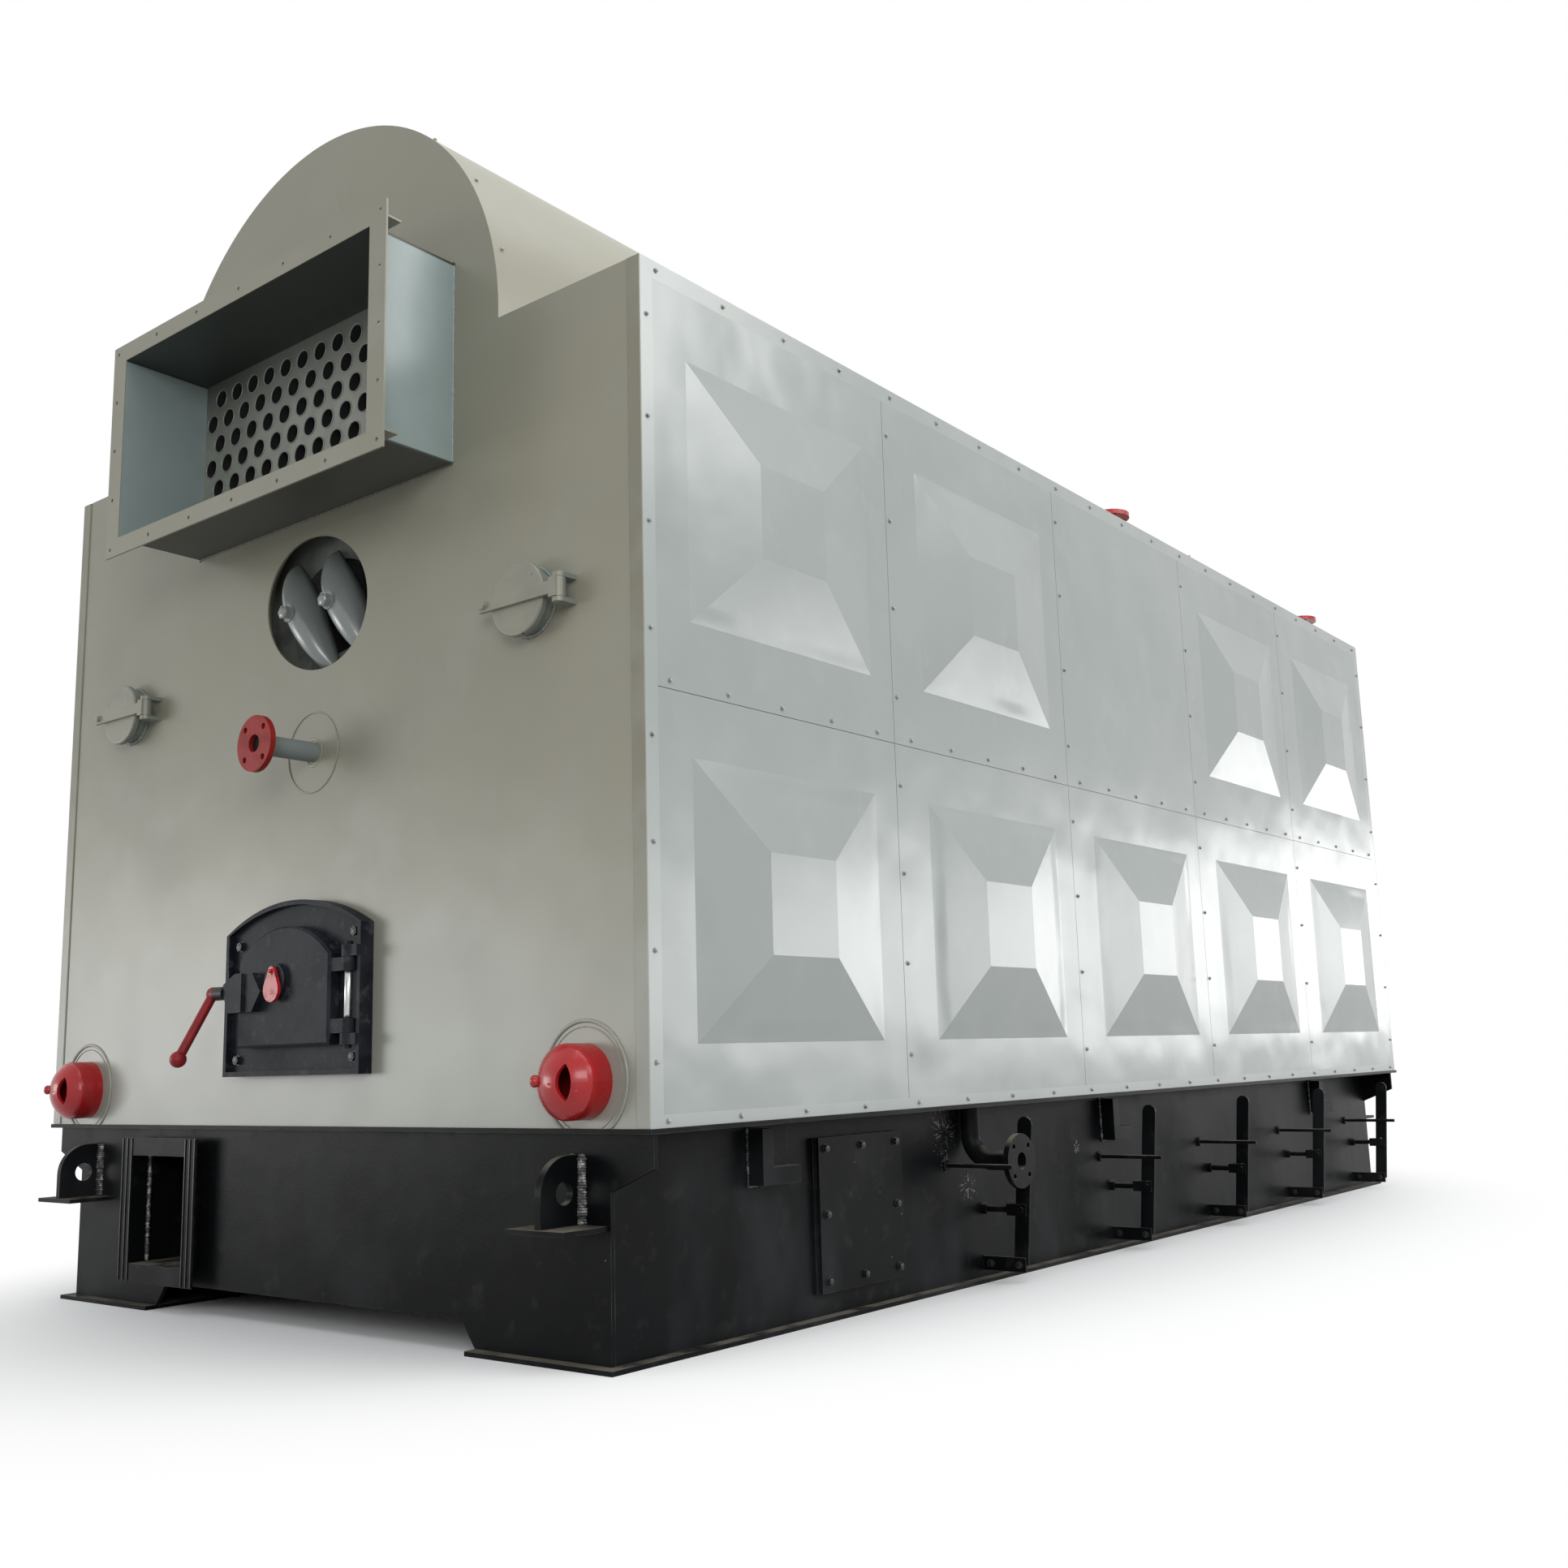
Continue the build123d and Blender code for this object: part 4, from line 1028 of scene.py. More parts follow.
class Repeats:
    """The geometry trees for what repeats: fasteners, tube ends, weld beads and spatter."""

    def __init__(self) -> None:
        """Write the four trees."""
        self.fasteners = self.fastener_tree()
        self.tube_ends = self.tube_tree()
        self.beads = self.bead_tree()
        self.spatter = self.spatter_tree()

    def start(self, name: str, inputs: dict[str, tuple]) -> Tree:
        """Open a geometry tree with a Geometry and a Material input besides its own."""
        sockets = {"Geometry": (GEOMETRY, None), **inputs, "Material": ("NodeSocketMaterial", None)}
        return new_group(name, "GeometryNodeTree", sockets, {"Geometry": GEOMETRY})

    def end(self, tree: Tree, instances: Socket, smooth: bool = False) -> Tree:
        """Realize the instances, set their material and close the tree.

        Args:
            tree: The tree.
            instances: The instances.
            smooth: Whether they are shaded smooth.

        Returns:
            The tree.
        """
        whole = tree.node("GeometryNodeRealizeInstances", {0: instances}).outputs[0]
        inputs = {"Geometry": whole, "Shade Smooth": smooth}
        shaded = tree.node("GeometryNodeSetShadeSmooth", inputs).outputs[0]
        inputs = {"Geometry": shaded, "Material": tree.given["Material"]}
        tree.give("Geometry", tree.node("GeometryNodeSetMaterial", inputs).outputs[0])
        return tree

    def chance(self, tree: Tree, low: object, high: object) -> Socket:
        """Return a random number for each instance."""
        inputs = {2: low, 3: high, "Seed": tree.given["Seed"]}
        return tree.node("FunctionNodeRandomValue", inputs, data_type="FLOAT").outputs[1]

    def turn_to_facing(self, tree: Tree) -> Socket:
        """Find the rotation that brings +Z to the facing attribute.

        Args:
            tree: The tree that it is written in.

        Returns:
            The rotation.
        """
        named = tree.node("GeometryNodeInputNamedAttribute", {"Name": "facing"}, data_type="FLOAT_VECTOR")
        inputs = {"Vector": named.outputs[0]}
        return tree.node("FunctionNodeAlignRotationToVector", inputs, axis="Z").outputs[0]

    def moved(self, tree: Tree, part: Socket, height: Socket, scale: object = EVEN) -> Socket:
        """Return a part scaled and moved to a height."""
        inputs = {"Geometry": part, "Translation": tree.xyz(Z=height), "Scale": scale}
        return tree.node("GeometryNodeTransform", inputs).outputs[0]

    def disc(self, tree: Tree, sides: int, radius: Socket, depth: Socket) -> Socket:
        """Return a flat cylinder about its own middle."""
        inputs = {"Vertices": sides, "Radius": radius, "Depth": depth}
        return tree.node("GeometryNodeMeshCylinder", inputs).outputs[0]

    def ring(self, tree: Tree, steps: int, radius: Socket) -> Socket:
        """Return a circle as a curve."""
        inputs = {"Resolution": steps, "Radius": radius}
        return tree.node("GeometryNodeCurvePrimitiveCircle", inputs).outputs[0]

    def swept(self, tree: Tree, path: Socket, section: Socket) -> Socket:
        """Return a section swept along a path."""
        inputs = {"Curve": path, "Profile Curve": section}
        return tree.node("GeometryNodeCurveToMesh", inputs).outputs[0]

    def on_points(self, tree: Tree, points: Socket, part: Socket, **turns: object) -> Socket:
        """Return a part set on each point, turned and scaled as given."""
        inputs = {"Points": points, "Instance": part, **turns}
        return tree.node("GeometryNodeInstanceOnPoints", inputs).outputs[0]

    def on_marks(self, tree: Tree, parts: list[Socket], rotation: Socket) -> Tree:
        """Join the parts, set them on each mark and close the tree.

        Args:
            tree: The tree.
            parts: What stands on each mark.
            rotation: How it is turned there.

        Returns:
            The tree.
        """
        joined = tree.node("GeometryNodeJoinGeometry")
        for part in parts:
            tree.link(part, joined.inputs[0])
        points = tree.node("GeometryNodeMeshToPoints", {"Mesh": tree.given["Geometry"]}).outputs[0]
        return self.end(tree, self.on_points(tree, points, joined.outputs[0], Rotation=rotation))

    def fastener_tree(self) -> Tree:
        """Make a washer with a six-sided head and a low dome on it, at each point.

        Returns:
            The tree.
        """
        tree = self.start("Fasteners", {
            "Washer Radius": (FLOAT, 0.008), "Washer Height": (FLOAT, 0.0015),
            "Head Radius": (FLOAT, 0.006), "Head Height": (FLOAT, 0.004),
            "Dome Height": (FLOAT, 0.001), "Seed": ("NodeSocketInt", 1),
        })
        given = tree.given
        thick, tall = given["Washer Height"], given["Head Height"]
        washer = self.disc(tree, 14, given["Washer Radius"], thick)
        washer = self.moved(tree, washer, tree.maths("MULTIPLY", thick, 0.5))
        head = self.disc(tree, 6, given["Head Radius"], tall)
        head = self.moved(tree, head, tree.maths("ADD", thick, tree.maths("MULTIPLY", tall, 0.5)))
        dome = tree.node("GeometryNodeMeshUVSphere", {"Segments": 12, "Rings": 6, "Radius": 1.0}).outputs[0]
        reach = tree.maths("MULTIPLY", given["Head Radius"], 0.80)
        scale = tree.xyz(X=reach, Y=reach, Z=given["Dome Height"])
        dome = self.moved(tree, dome, tree.maths("ADD", thick, tall), scale)
        angle = self.chance(tree, 0.0, math.pi)
        spin = tree.node("FunctionNodeAxisAngleToRotation", {"Angle": angle}).outputs[0]
        turns = {0: self.turn_to_facing(tree), 1: spin}
        rotation = tree.node("FunctionNodeRotateRotation", turns, rotation_space="LOCAL").outputs[0]
        return self.on_marks(tree, [washer, head, dome], rotation)

    def tube_tree(self) -> Tree:
        """Make a tube end with its weld round it, at each point.

        Returns:
            The tree.
        """
        tree = self.start("Tube ends", {
            "Tube Radius": (FLOAT, 0.028), "Tube Wall": (FLOAT, 0.003),
            "Tube Length": (FLOAT, 0.1), "Weld Radius": (FLOAT, 0.003),
        })
        given = tree.given
        half_wall = tree.maths("MULTIPLY", given["Tube Wall"], 0.5)
        path = self.ring(tree, 32, tree.maths("SUBTRACT", given["Tube Radius"], half_wall))
        section = tree.node("GeometryNodeCurvePrimitiveQuadrilateral", {
            "Width": given["Tube Wall"], "Height": given["Tube Length"]}).outputs[0]
        tube = self.swept(tree, path, section)
        tube = self.moved(tree, tube, tree.maths("MULTIPLY", given["Tube Length"], -0.5))
        rim = self.ring(tree, 32, given["Tube Radius"])
        weld = self.swept(tree, rim, self.ring(tree, 6, given["Weld Radius"]))
        return self.on_marks(tree, [tube, weld], self.turn_to_facing(tree))

    def bead_tree(self) -> Tree:
        """Lay overlapping weld ripples along lines.

        Returns:
            The tree.
        """
        tree = self.start("Weld beads", {
            "Width": (FLOAT, 0.012), "Height": (FLOAT, 0.004), "Step": (FLOAT, 0.005),
            "Seed": ("NodeSocketInt", 2),
        })
        given = tree.given
        curve = tree.node("GeometryNodeMeshToCurve", {"Mesh": given["Geometry"]}).outputs[0]
        inputs = {"Curve": curve, "Length": given["Step"]}
        line = tree.node("GeometryNodeResampleCurve", inputs, mode="LENGTH").outputs[0]
        ripple = tree.node("GeometryNodeMeshIcoSphere", {"Radius": 1.0, "Subdivisions": 2}).outputs[0]
        tangent = tree.node("GeometryNodeInputTangent").outputs[0]
        rotation = tree.node("FunctionNodeAlignRotationToVector", {
            "Rotation": self.turn_to_facing(tree), "Vector": tangent}, axis="X", pivot_axis="Z").outputs[0]
        wobble = self.chance(tree, 0.7, 1.15)
        width = tree.maths("MULTIPLY", tree.maths("MULTIPLY", given["Width"], 0.5), wobble)
        scale = tree.xyz(X=given["Step"], Y=width, Z=tree.maths("MULTIPLY", given["Height"], wobble))
        ripples = self.on_points(tree, line, ripple, Rotation=rotation, Scale=scale)
        return self.end(tree, ripples, smooth=True)

    def spatter_tree(self) -> Tree:
        """Scatter small drops of weld metal over a patch.

        Returns:
            The tree.
        """
        tree = self.start("Weld spatter", {
            "Density": (FLOAT, 900.0), "Smallest": (FLOAT, 0.0006), "Largest": (FLOAT, 0.0022),
            "Seed": ("NodeSocketInt", 3),
        })
        given = tree.given
        inputs = {"Mesh": given["Geometry"], "Density": given["Density"], "Seed": given["Seed"]}
        scattered = tree.node("GeometryNodeDistributePointsOnFaces", inputs, distribute_method="RANDOM")
        drop = tree.node("GeometryNodeMeshIcoSphere", {"Radius": 1.0, "Subdivisions": 1}).outputs[0]
        size = self.chance(tree, given["Smallest"], given["Largest"])
        drops = self.on_points(tree, scattered.outputs[0], drop, Scale=size)
        return self.end(tree, drops, smooth=True)


repeats = Repeats()


def fasteners(name: str, marks: list[Mark], size: Fastener, finish: Finish,
              body: str = "root") -> Piece:
    """Set a fastener on each mark, all as one piece.

    Args:
        name: The piece's name.
        marks: Where each fastener seats and which way it faces.
        size: The fastener's sizes.
        finish: The metal or paint.
        body: The body that the fasteners are screwed into.

    Returns:
        The piece.
    """
    mesh = grown(name, marks_mesh(marks), repeats.fasteners, size.inputs(), finish)
    return piece_from(name, mesh, finish, body)


def beads(name: str, runs: list[Run], size: Bead, finish: Finish) -> Piece:
    """Lay weld beads along lines, all as one piece.

    Args:
        name: The piece's name.
        runs: Each line's points and the direction that they face.
        size: The bead's sizes.
        finish: The metal or paint.

    Returns:
        The piece.
    """
    mesh = grown(name, runs_mesh(runs), repeats.beads, size.inputs(), finish)
    return piece_from(name, mesh, finish, smooth=True)


def spatter(name: str, patches: list[tuple[Vector, float]], density: float, finish: Finish) -> Piece:
    """Scatter weld drops over square patches of the side with the levers.

    Args:
        name: The piece's name.
        patches: The middle and half the width of each patch.
        density: Drops to the square metre.
        finish: The metal.

    Returns:
        The piece.
    """
    shape = bmesh.new()
    for centre, half in patches:
        corners = [(-half, -half), (half, -half), (half, half), (-half, half)]
        shape.faces.new([shape.verts.new(centre + Vector((0, y, z))) for y, z in corners])
    mesh = grown(name, mesh_of(name, shape), repeats.spatter, {"Density": density}, finish)
    return piece_from(name, mesh, finish, smooth=True)


def paint(finish: Finish, *names: str) -> None:
    """Give CAD nodes a finish.

    Args:
        finish: The finish.
        names: The nodes.
    """
    for name in names:
        node = frame["nodes"][name]
        if not node.material_slots:
            node.data.materials.append(None)
        for slot in node.material_slots:
            slot.material = finish.material()


# Places and sizes that the sub-assemblies share

M12 = Fastener(0.012, 0.0015, 0.0105, 0.008, 0.0012)
M16 = Fastener(0.015, 0.002, 0.0135, 0.010, 0.0015)
M24 = Fastener(0.027, 0.004, 0.022, 0.020, 0.006)
SHEET_SCREW = Fastener(0.0074, 0.0015, 0.0052, 0.0036, 0.0022)
RIVET = Fastener(0.011, 0.0015, 0.008, 0.003, 0.003)
# How far the deck brackets stand off the base's wall
BRACKET_STAND = 0.055
# Outside radius of a header, and how far above its axis its rings and stub are centred
HEADER_RADIUS = 0.092
HEADER_MARK_RISE = 0.004


def near_face() -> float:
    """Return the Y of the near end panel's face."""
    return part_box("end_panel_near")[0].y


def base_wall() -> float:
    """Return the X of the base's outer wall, which the deck brackets stand off."""
    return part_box("deck_brackets")[1].x - BRACKET_STAND


def joint_place(name: str) -> Vector:
    """Return a joint's place."""
    return Vector(next(joint["pos_m"] for joint in frame["joints"] if joint["name"] == name))


def header_mark(side: int, y: float) -> Vector:
    """Return where the rings and stubs of a near header end are centred, just above its axis."""
    low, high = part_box("header_ends_near")
    return Vector((side * (high.x - HEADER_RADIUS), y, (low.z + high.z) / 2 + HEADER_MARK_RISE))


def spaced(low: float, high: float, step: float) -> list[float]:
    """Return even places from low to high, about a step apart."""
    count = max(1, round((high - low) / step))
    return [low + (high - low) * n / count for n in range(count + 1)]


# The boiler's sub-assemblies

@dataclass
class Casing:
    """The clad casing: end panels, pressed side sheets, roof and drum cover.

    Args:
        bays: How many sheets each side has in a row.
        far_bay_extra: How much longer the far sheet is.
        row_split: Height of the seam between the rows, above the casing's foot.
        top_strip: Height of the band along the roof edge.
        bottom_strip: Height of the band along the base.
        corner_strip: Width of the folded strip at a corner.
        strip_screws: Spacing of the screws along a band.
        strip_end: Distance of a band's first screw from the corner.
        column_shares: Where a column's screws sit on a sheet, as shares of its height.
        past_seam: How far a column of screws stands past its seam.
        above_split: How far the row of screws stands above the seam between the rows.
        row_end: Distance of a row's first screw from an upright seam.
        row_spaces: How many screw spacings a sheet's length makes.
        cover_screw_end: Distance of the drum cover's screws from its ends.
        cover_screw_angles: Their angles round the cover, in degrees.
        cover_screw_clear: The least height above the roof that one of them has.
        fold_rise: How far a fold stands off the end panel.
        fold_crease: Width of a fold's slope.
        fold_gaps: Gaps below and above a fold.
        header_rings: Radius, width and height of the rings round a header end.
        feed_rings: The same of the rings round the feed pipe.
    """

    bays: int = 5
    far_bay_extra: float = 0.070
    row_split: float = 1.068
    top_strip: float = 0.050
    bottom_strip: float = 0.031
    corner_strip: float = 0.045
    strip_screws: float = 0.262
    strip_end: float = 0.060
    column_shares: tuple[float, ...] = (0.13, 0.38, 0.63, 0.88)
    past_seam: float = 0.021
    above_split: float = 0.020
    row_end: float = 0.090
    row_spaces: float = 4.6
    cover_screw_end: float = 0.035
    cover_screw_angles: tuple[int, ...] = tuple(range(14, 180, 19))
    cover_screw_clear: float = 0.030
    fold_rise: float = 0.004
    fold_crease: float = 0.003
    fold_gaps: tuple[float, float] = (0.001, 0.002)
    header_rings: tuple[Triple, ...] = ((0.142, 0.010, 0.0045), (0.127, 0.003, 0.0020))
    feed_rings: tuple[Triple, ...] = ((0.121, 0.0045, 0.0030), (0.040, 0.010, 0.0015))
    low: Vector = field(init=False)
    high: Vector = field(init=False)

    def __post_init__(self) -> None:
        """Take the casing's extent from its trim frames."""
        trim_low, trim_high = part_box("trim_frame_right")
        self.low = Vector((-trim_high.x, trim_low.y, trim_low.z))
        self.high = trim_high

    def seams(self) -> list[float]:
        """Return the Y of each upright seam between two sheets."""
        bay = (self.high.y - self.low.y - self.far_bay_extra) / self.bays
        return [self.low.y + bay * n for n in range(1, self.bays)]

    def screw_marks(self, side: int) -> list[Mark]:
        """Place the sheet screws of one side.

        Args:
            side: 1 for the side with the levers, -1 for the other.

        Returns:
            A mark for each screw.
        """
        split = self.low.z + self.row_split
        top = self.high.z - self.top_strip / 2
        bottom = self.low.z + self.bottom_strip / 2
        columns = [self.low.y + self.corner_strip / 2, self.high.y - self.corner_strip / 2]
        columns += [seam + self.past_seam for seam in self.seams()]
        places = []
        for y in columns:
            for low, high in ((bottom, split), (split, top)):
                places += [(y, low + (high - low) * share) for share in self.column_shares]
        edges = [self.low.y, *self.seams(), self.high.y]
        for start, end in zip(edges, edges[1:]):
            row = spaced(start + self.row_end, end - self.row_end, (end - start) / self.row_spaces)
            places += [(y, split + self.above_split) for y in row]
        for z in (bottom, top):
            strip = spaced(self.low.y + self.strip_end, self.high.y - self.strip_end, self.strip_screws)
            places += [(y, z) for y in strip]
        return [Mark(Vector((self.high.x * side, y, z)), Vector((side, 0, 0))) for y, z in places]

    def cover_marks(self) -> list[Mark]:
        """Place the screws that hold the drum cover near its two ends.

        Returns:
            A mark for each screw that is clear of the roof.
        """
        low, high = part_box("drum_cover")
        marks = []
        for y in (low.y + self.cover_screw_end, high.y - self.cover_screw_end):
            for angle in map(math.radians, self.cover_screw_angles):
                facing = Vector((math.cos(angle), 0, math.sin(angle)))
                point = Vector((0, y, high.z - high.x)) + facing * high.x
                if point.z > self.high.z + self.cover_screw_clear:
                    marks.append(Mark(point, facing))
        return marks

    def folds(self) -> Mesh:
        """Fold the strips that run up the end panels beside each corner.

        Returns:
            Their mesh.
        """
        shape = bmesh.new()
        foot = self.low.z + self.fold_gaps[0]
        height = self.high.z - foot - self.fold_gaps[1]
        for end, y in ((-1, self.low.y), (1, self.high.y)):
            for side in (-1, 1):
                outer = self.high.x * side
                inner = outer - self.corner_strip * side
                crease = inner + self.fold_crease * side
                profile = [(outer, 0.0), (outer, self.fold_rise), (crease, self.fold_rise),
                           (inner, self.fold_rise / 2), (inner, 0.0)]
                outline = [Vector((x, y + end * out, foot)) for x, out in profile]
                prism(shape, outline, Vector((0, 0, height)))
        return mesh_of("end_folds", shape)

    def patches(self) -> Mesh:
        """Lay the thin raised rings where the sheet was cut and made good.

        Returns:
            Their mesh, cut off at the casing's foot.
        """
        shape = bmesh.new()
        low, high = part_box("feed_pipe")
        feed = Vector(((low.x + high.x) / 2, self.low.y, (low.z + high.z) / 2))
        for side in (-1, 1):
            for ring in self.header_rings:
                rounded_ring(shape, header_mark(side, self.low.y), *ring)
        for ring in self.feed_rings:
            rounded_ring(shape, feed, *ring)
        bmesh.ops.bisect_plane(
            shape, geom=[*shape.verts, *shape.edges, *shape.faces],
            plane_co=(0, 0, self.low.z + self.fold_gaps[0]), plane_no=(0, 0, -1), clear_outer=True)
        return mesh_of("patch_rings", shape)

    def build(self) -> None:
        """Finish the casing's nodes and add its screws, folds and patches."""
        paint(CASING_WARM_LIT_BEIGE, "end_panel_near", "end_panel_far", "roof_sheet", "drum_cover",
              "side_wall_right", "side_wall_left")
        paint(SIGNAL_RED, "roof_nozzles")
        for side, name in ((1, "right"), (-1, "left")):
            paint(PANEL_COOL_LIT_BLUE, f"panels_{name}_lower", f"panels_{name}_upper")
            paint(TRIM_COOL_LIT_BLUE, f"trim_frame_{name}")
            fasteners(f"sheet_screws_{name}", self.screw_marks(side), SHEET_SCREW, SCREW_GREY)
        fasteners("drum_cover_screws", self.cover_marks(), SHEET_SCREW, SCREW_GREY)
        # The folds take a darker paint that stands in for their shade.
        piece_from("end_folds", self.folds(), FOLD_SHADE_BEIGE)
        piece_from("patch_rings", self.patches(), CASING_WARM_LIT_BEIGE, smooth=True)


@dataclass
class FlueEnd:
    """The flue outlet, its tubes, the manhole and the feed pipe.

    Args:
        tube_rows: Rows of fire tubes.
        long_row: Tubes in a long row.
        tube_pitch: Spacing across a row.
        row_pitch: Spacing of the rows.
        tube: Sizes of a tube's end.
        tube_proud: How far the tubes stand out of the tube sheet.
        yoke_apart: Half the spacing of the manhole's yokes.
        yoke_tilt: How far the yokes lean from upright, in degrees.
        hull_reach: Half the length of a yoke's back.
        hull_half_width: Half its width at its middle.
        hull_taper: How much of its width it loses by its ends.
        hull_rise: How far it stands off the drum's end.
        hull_foot: Its depth at its ends.
        hull_bow: The power that shapes its bow from end to end.
        hull_round: The power that shapes its section.
        hull_steps: Steps along half its length.
        hull_flats: Flats round its section.
        nut_lift: How far a yoke's nut sits above its back.
        pipe_bore: Radius of the feed pipe's bore.
        pipe_depth: How deep the bore is seen into.
        seam: Sizes of the weld between the duct and the end panel.
    """

    tube_rows: int = 7
    long_row: int = 14
    tube_pitch: float = 0.090
    row_pitch: float = 0.078
    tube: TubeEnd = TubeEnd(0.0305, 0.0018, 0.19, 0.0016)
    tube_proud: float = 0.0012
    yoke_apart: float = 0.099
    yoke_tilt: float = 30.0
    hull_reach: float = 0.225
    hull_half_width: float = 0.050
    hull_taper: float = 0.70
    hull_rise: float = 0.100
    hull_foot: float = 0.006
    hull_bow: float = 0.75
    hull_round: float = 0.55
    hull_steps: int = 16
    hull_flats: int = 20
    nut_lift: float = 0.004
    pipe_bore: float = 0.0257
    pipe_depth: float = 0.016
    seam: Bead = Bead(0.009, 0.003, 0.009)

    def tube_marks(self) -> list[Mark]:
        """Place the end of each fire tube, facing out of the flue.

        Returns:
            A mark for each tube.
        """
        low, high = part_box("tube_sheet")
        middle = (low + high) / 2
        marks = []
        for row in range(self.tube_rows):
            count = self.long_row - 1 + row % 2
            z = middle.z + ((self.tube_rows - 1) / 2 - row) * self.row_pitch
            for n in range(count):
                x = middle.x + (n - (count - 1) / 2) * self.tube_pitch
                marks.append(Mark(Vector((x, low.y - self.tube_proud, z))))
        return marks

    def yoke_centres(self) -> list[Vector]:
        """Find the middle of each manhole yoke, on the drum's end.

        Returns:
            The two places.
        """
        low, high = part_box("manhole_yokes")
        middle = (low + high) / 2
        return [Vector((middle.x + side * self.yoke_apart, high.y, middle.z)) for side in (-1, 1)]

    def yoke_hulls(self) -> Mesh:
        """Press the yokes' round backs, which bow out and narrow towards their ends.

        Returns:
            Their mesh.
        """
        shape = bmesh.new()
        tilt = math.radians(self.yoke_tilt)
        along = Vector((-math.sin(tilt), 0, math.cos(tilt)))
        across = Vector((math.cos(tilt), 0, math.sin(tilt)))
        for centre in self.yoke_centres():
            rows = []
            for step in range(2 * self.hull_steps + 1):
                place = step / self.hull_steps - 1
                half = self.hull_half_width * (1 - self.hull_taper * place * place)
                rise = self.hull_rise * (1 - place * place) ** self.hull_bow + self.hull_foot
                row = []
                for turn in range(self.hull_flats + 1):
                    angle = math.pi * (turn / self.hull_flats - 0.5)
                    out = rise * max(math.cos(angle), 0.0) ** self.hull_round
                    point = centre + along * (self.hull_reach * place) + across * (half * math.sin(angle))
                    row.append(shape.verts.new(point + TO_NEAR * out))
                rows.append(row)
            for here, there in zip(rows, rows[1:]):
                for n in range(-1, self.hull_flats):
                    shape.faces.new([here[n], here[n + 1], there[n + 1], there[n]])
            shape.faces.new(rows[0])
            shape.faces.new(rows[-1])
        return mesh_of("yoke_hulls", shape)

    def yoke_marks(self) -> list[Mark]:
        """Return the seat of the nut on each manhole yoke."""
        return [Mark(centre + TO_NEAR * (self.hull_rise + self.nut_lift)) for centre in self.yoke_centres()]

    def pipe_end(self) -> Mesh:
        """Close the feed pipe's bore with a dark disc of painted shade, where the real one runs on into the
        drum.

        Returns:
            The disc's mesh.
        """
        shape = bmesh.new()
        low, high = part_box("feed_pipe")
        centre = Vector(((low.x + high.x) / 2, low.y + self.pipe_depth, (low.z + high.z) / 2))
        profile = [(0.0, 0.0), (self.pipe_bore, 0.0), (self.pipe_bore, 0.002), (0.0, 0.002)]
        turned(shape, profile, centre, TO_NEAR, 32)
        return mesh_of("feed_pipe_depth", shape)

    def seam_run(self) -> Run:
        """Follow the duct's outline on the end panel.

        Returns:
            The closed line that the seam's weld follows.
        """
        corners = [(DUCT_LOW.x, DUCT_LOW.z), (DUCT_HIGH.x, DUCT_LOW.z),
                   (DUCT_HIGH.x, DUCT_HIGH.z), (DUCT_LOW.x, DUCT_HIGH.z)]
        return [Vector((x, near_face() - 0.001, z)) for x, z in [*corners, corners[0]]], TO_NEAR

    def build(self) -> None:
        """Finish the flue end and add its tube ends, yokes' backs, nuts and seam."""
        paint(DUCT_COOL_LIT_TEAL, "flue_duct")
        paint(CASING_WARM_LIT_BEIGE, "flue_angle_frame")
        paint(TUBE_PLATE, "tube_sheet")
        # Painted shade: the manhole's plate and cover take a darker copy of the drum paint and near black
        # for the recess.
        paint(SHADED_DRUM, "manhole_plate")
        paint(HOLLOW_SHADE_BLACK, "manhole_cover")
        paint(FLANGE_RED, "feed_pipe")
        marks = marks_mesh(self.tube_marks())
        mesh = grown("tube_ends", marks, repeats.tube_ends, self.tube.inputs(), TUBE_STEEL)
        piece_from("tube_ends", mesh, TUBE_STEEL)
        hulls = piece_from("yoke_hulls", self.yoke_hulls(), DRUM_GREY, smooth=True)
        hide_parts("manhole_yokes")
        fasteners("yoke_nuts", self.yoke_marks(), M24, DRUM_GREY)
        piece_from("feed_pipe_depth", self.pipe_end(), HOLLOW_SHADE_BLACK)
        beads("duct_seam", [self.seam_run()], self.seam, DUCT_COOL_LIT_TEAL)


@dataclass
class Headers:
    """The red domed header ends.

    Args:
        nub_side: How far a stub sits to the side of the header's axis.
        nub_back: How far its middle is behind the dome's crown.
        nub_facing: The direction that it points in.
        nub_profile: Radius and height of its outline.
    """

    nub_side: float = -0.060
    nub_back: float = 0.020
    nub_facing: Triple = (-0.8, -1, 0)
    nub_profile: tuple[tuple[float, float], ...] = (
        (0.0, -0.014), (0.015, -0.014), (0.0145, 0.004), (0.0155, 0.009),
        (0.012, 0.016), (0.005, 0.019), (0.0, 0.0195))

    def nubs(self) -> Mesh:
        """Turn the sawn-off lifting stubs on the near domes.

        Returns:
            Their mesh.
        """
        shape = bmesh.new()
        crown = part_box("header_ends_near")[0].y
        for side in (-1, 1):
            centre = header_mark(side, crown + self.nub_back) + Vector((self.nub_side, 0, 0))
            turned(shape, list(self.nub_profile), centre, Vector(self.nub_facing).normalized(), 14)
        return mesh_of("header_nubs", shape)

    def build(self) -> None:
        """Finish the header ends and add their stubs."""
        paint(SIGNAL_RED, "header_ends_near", "header_ends_far")
        piece_from("header_nubs", self.nubs(), SIGNAL_RED, smooth=True)


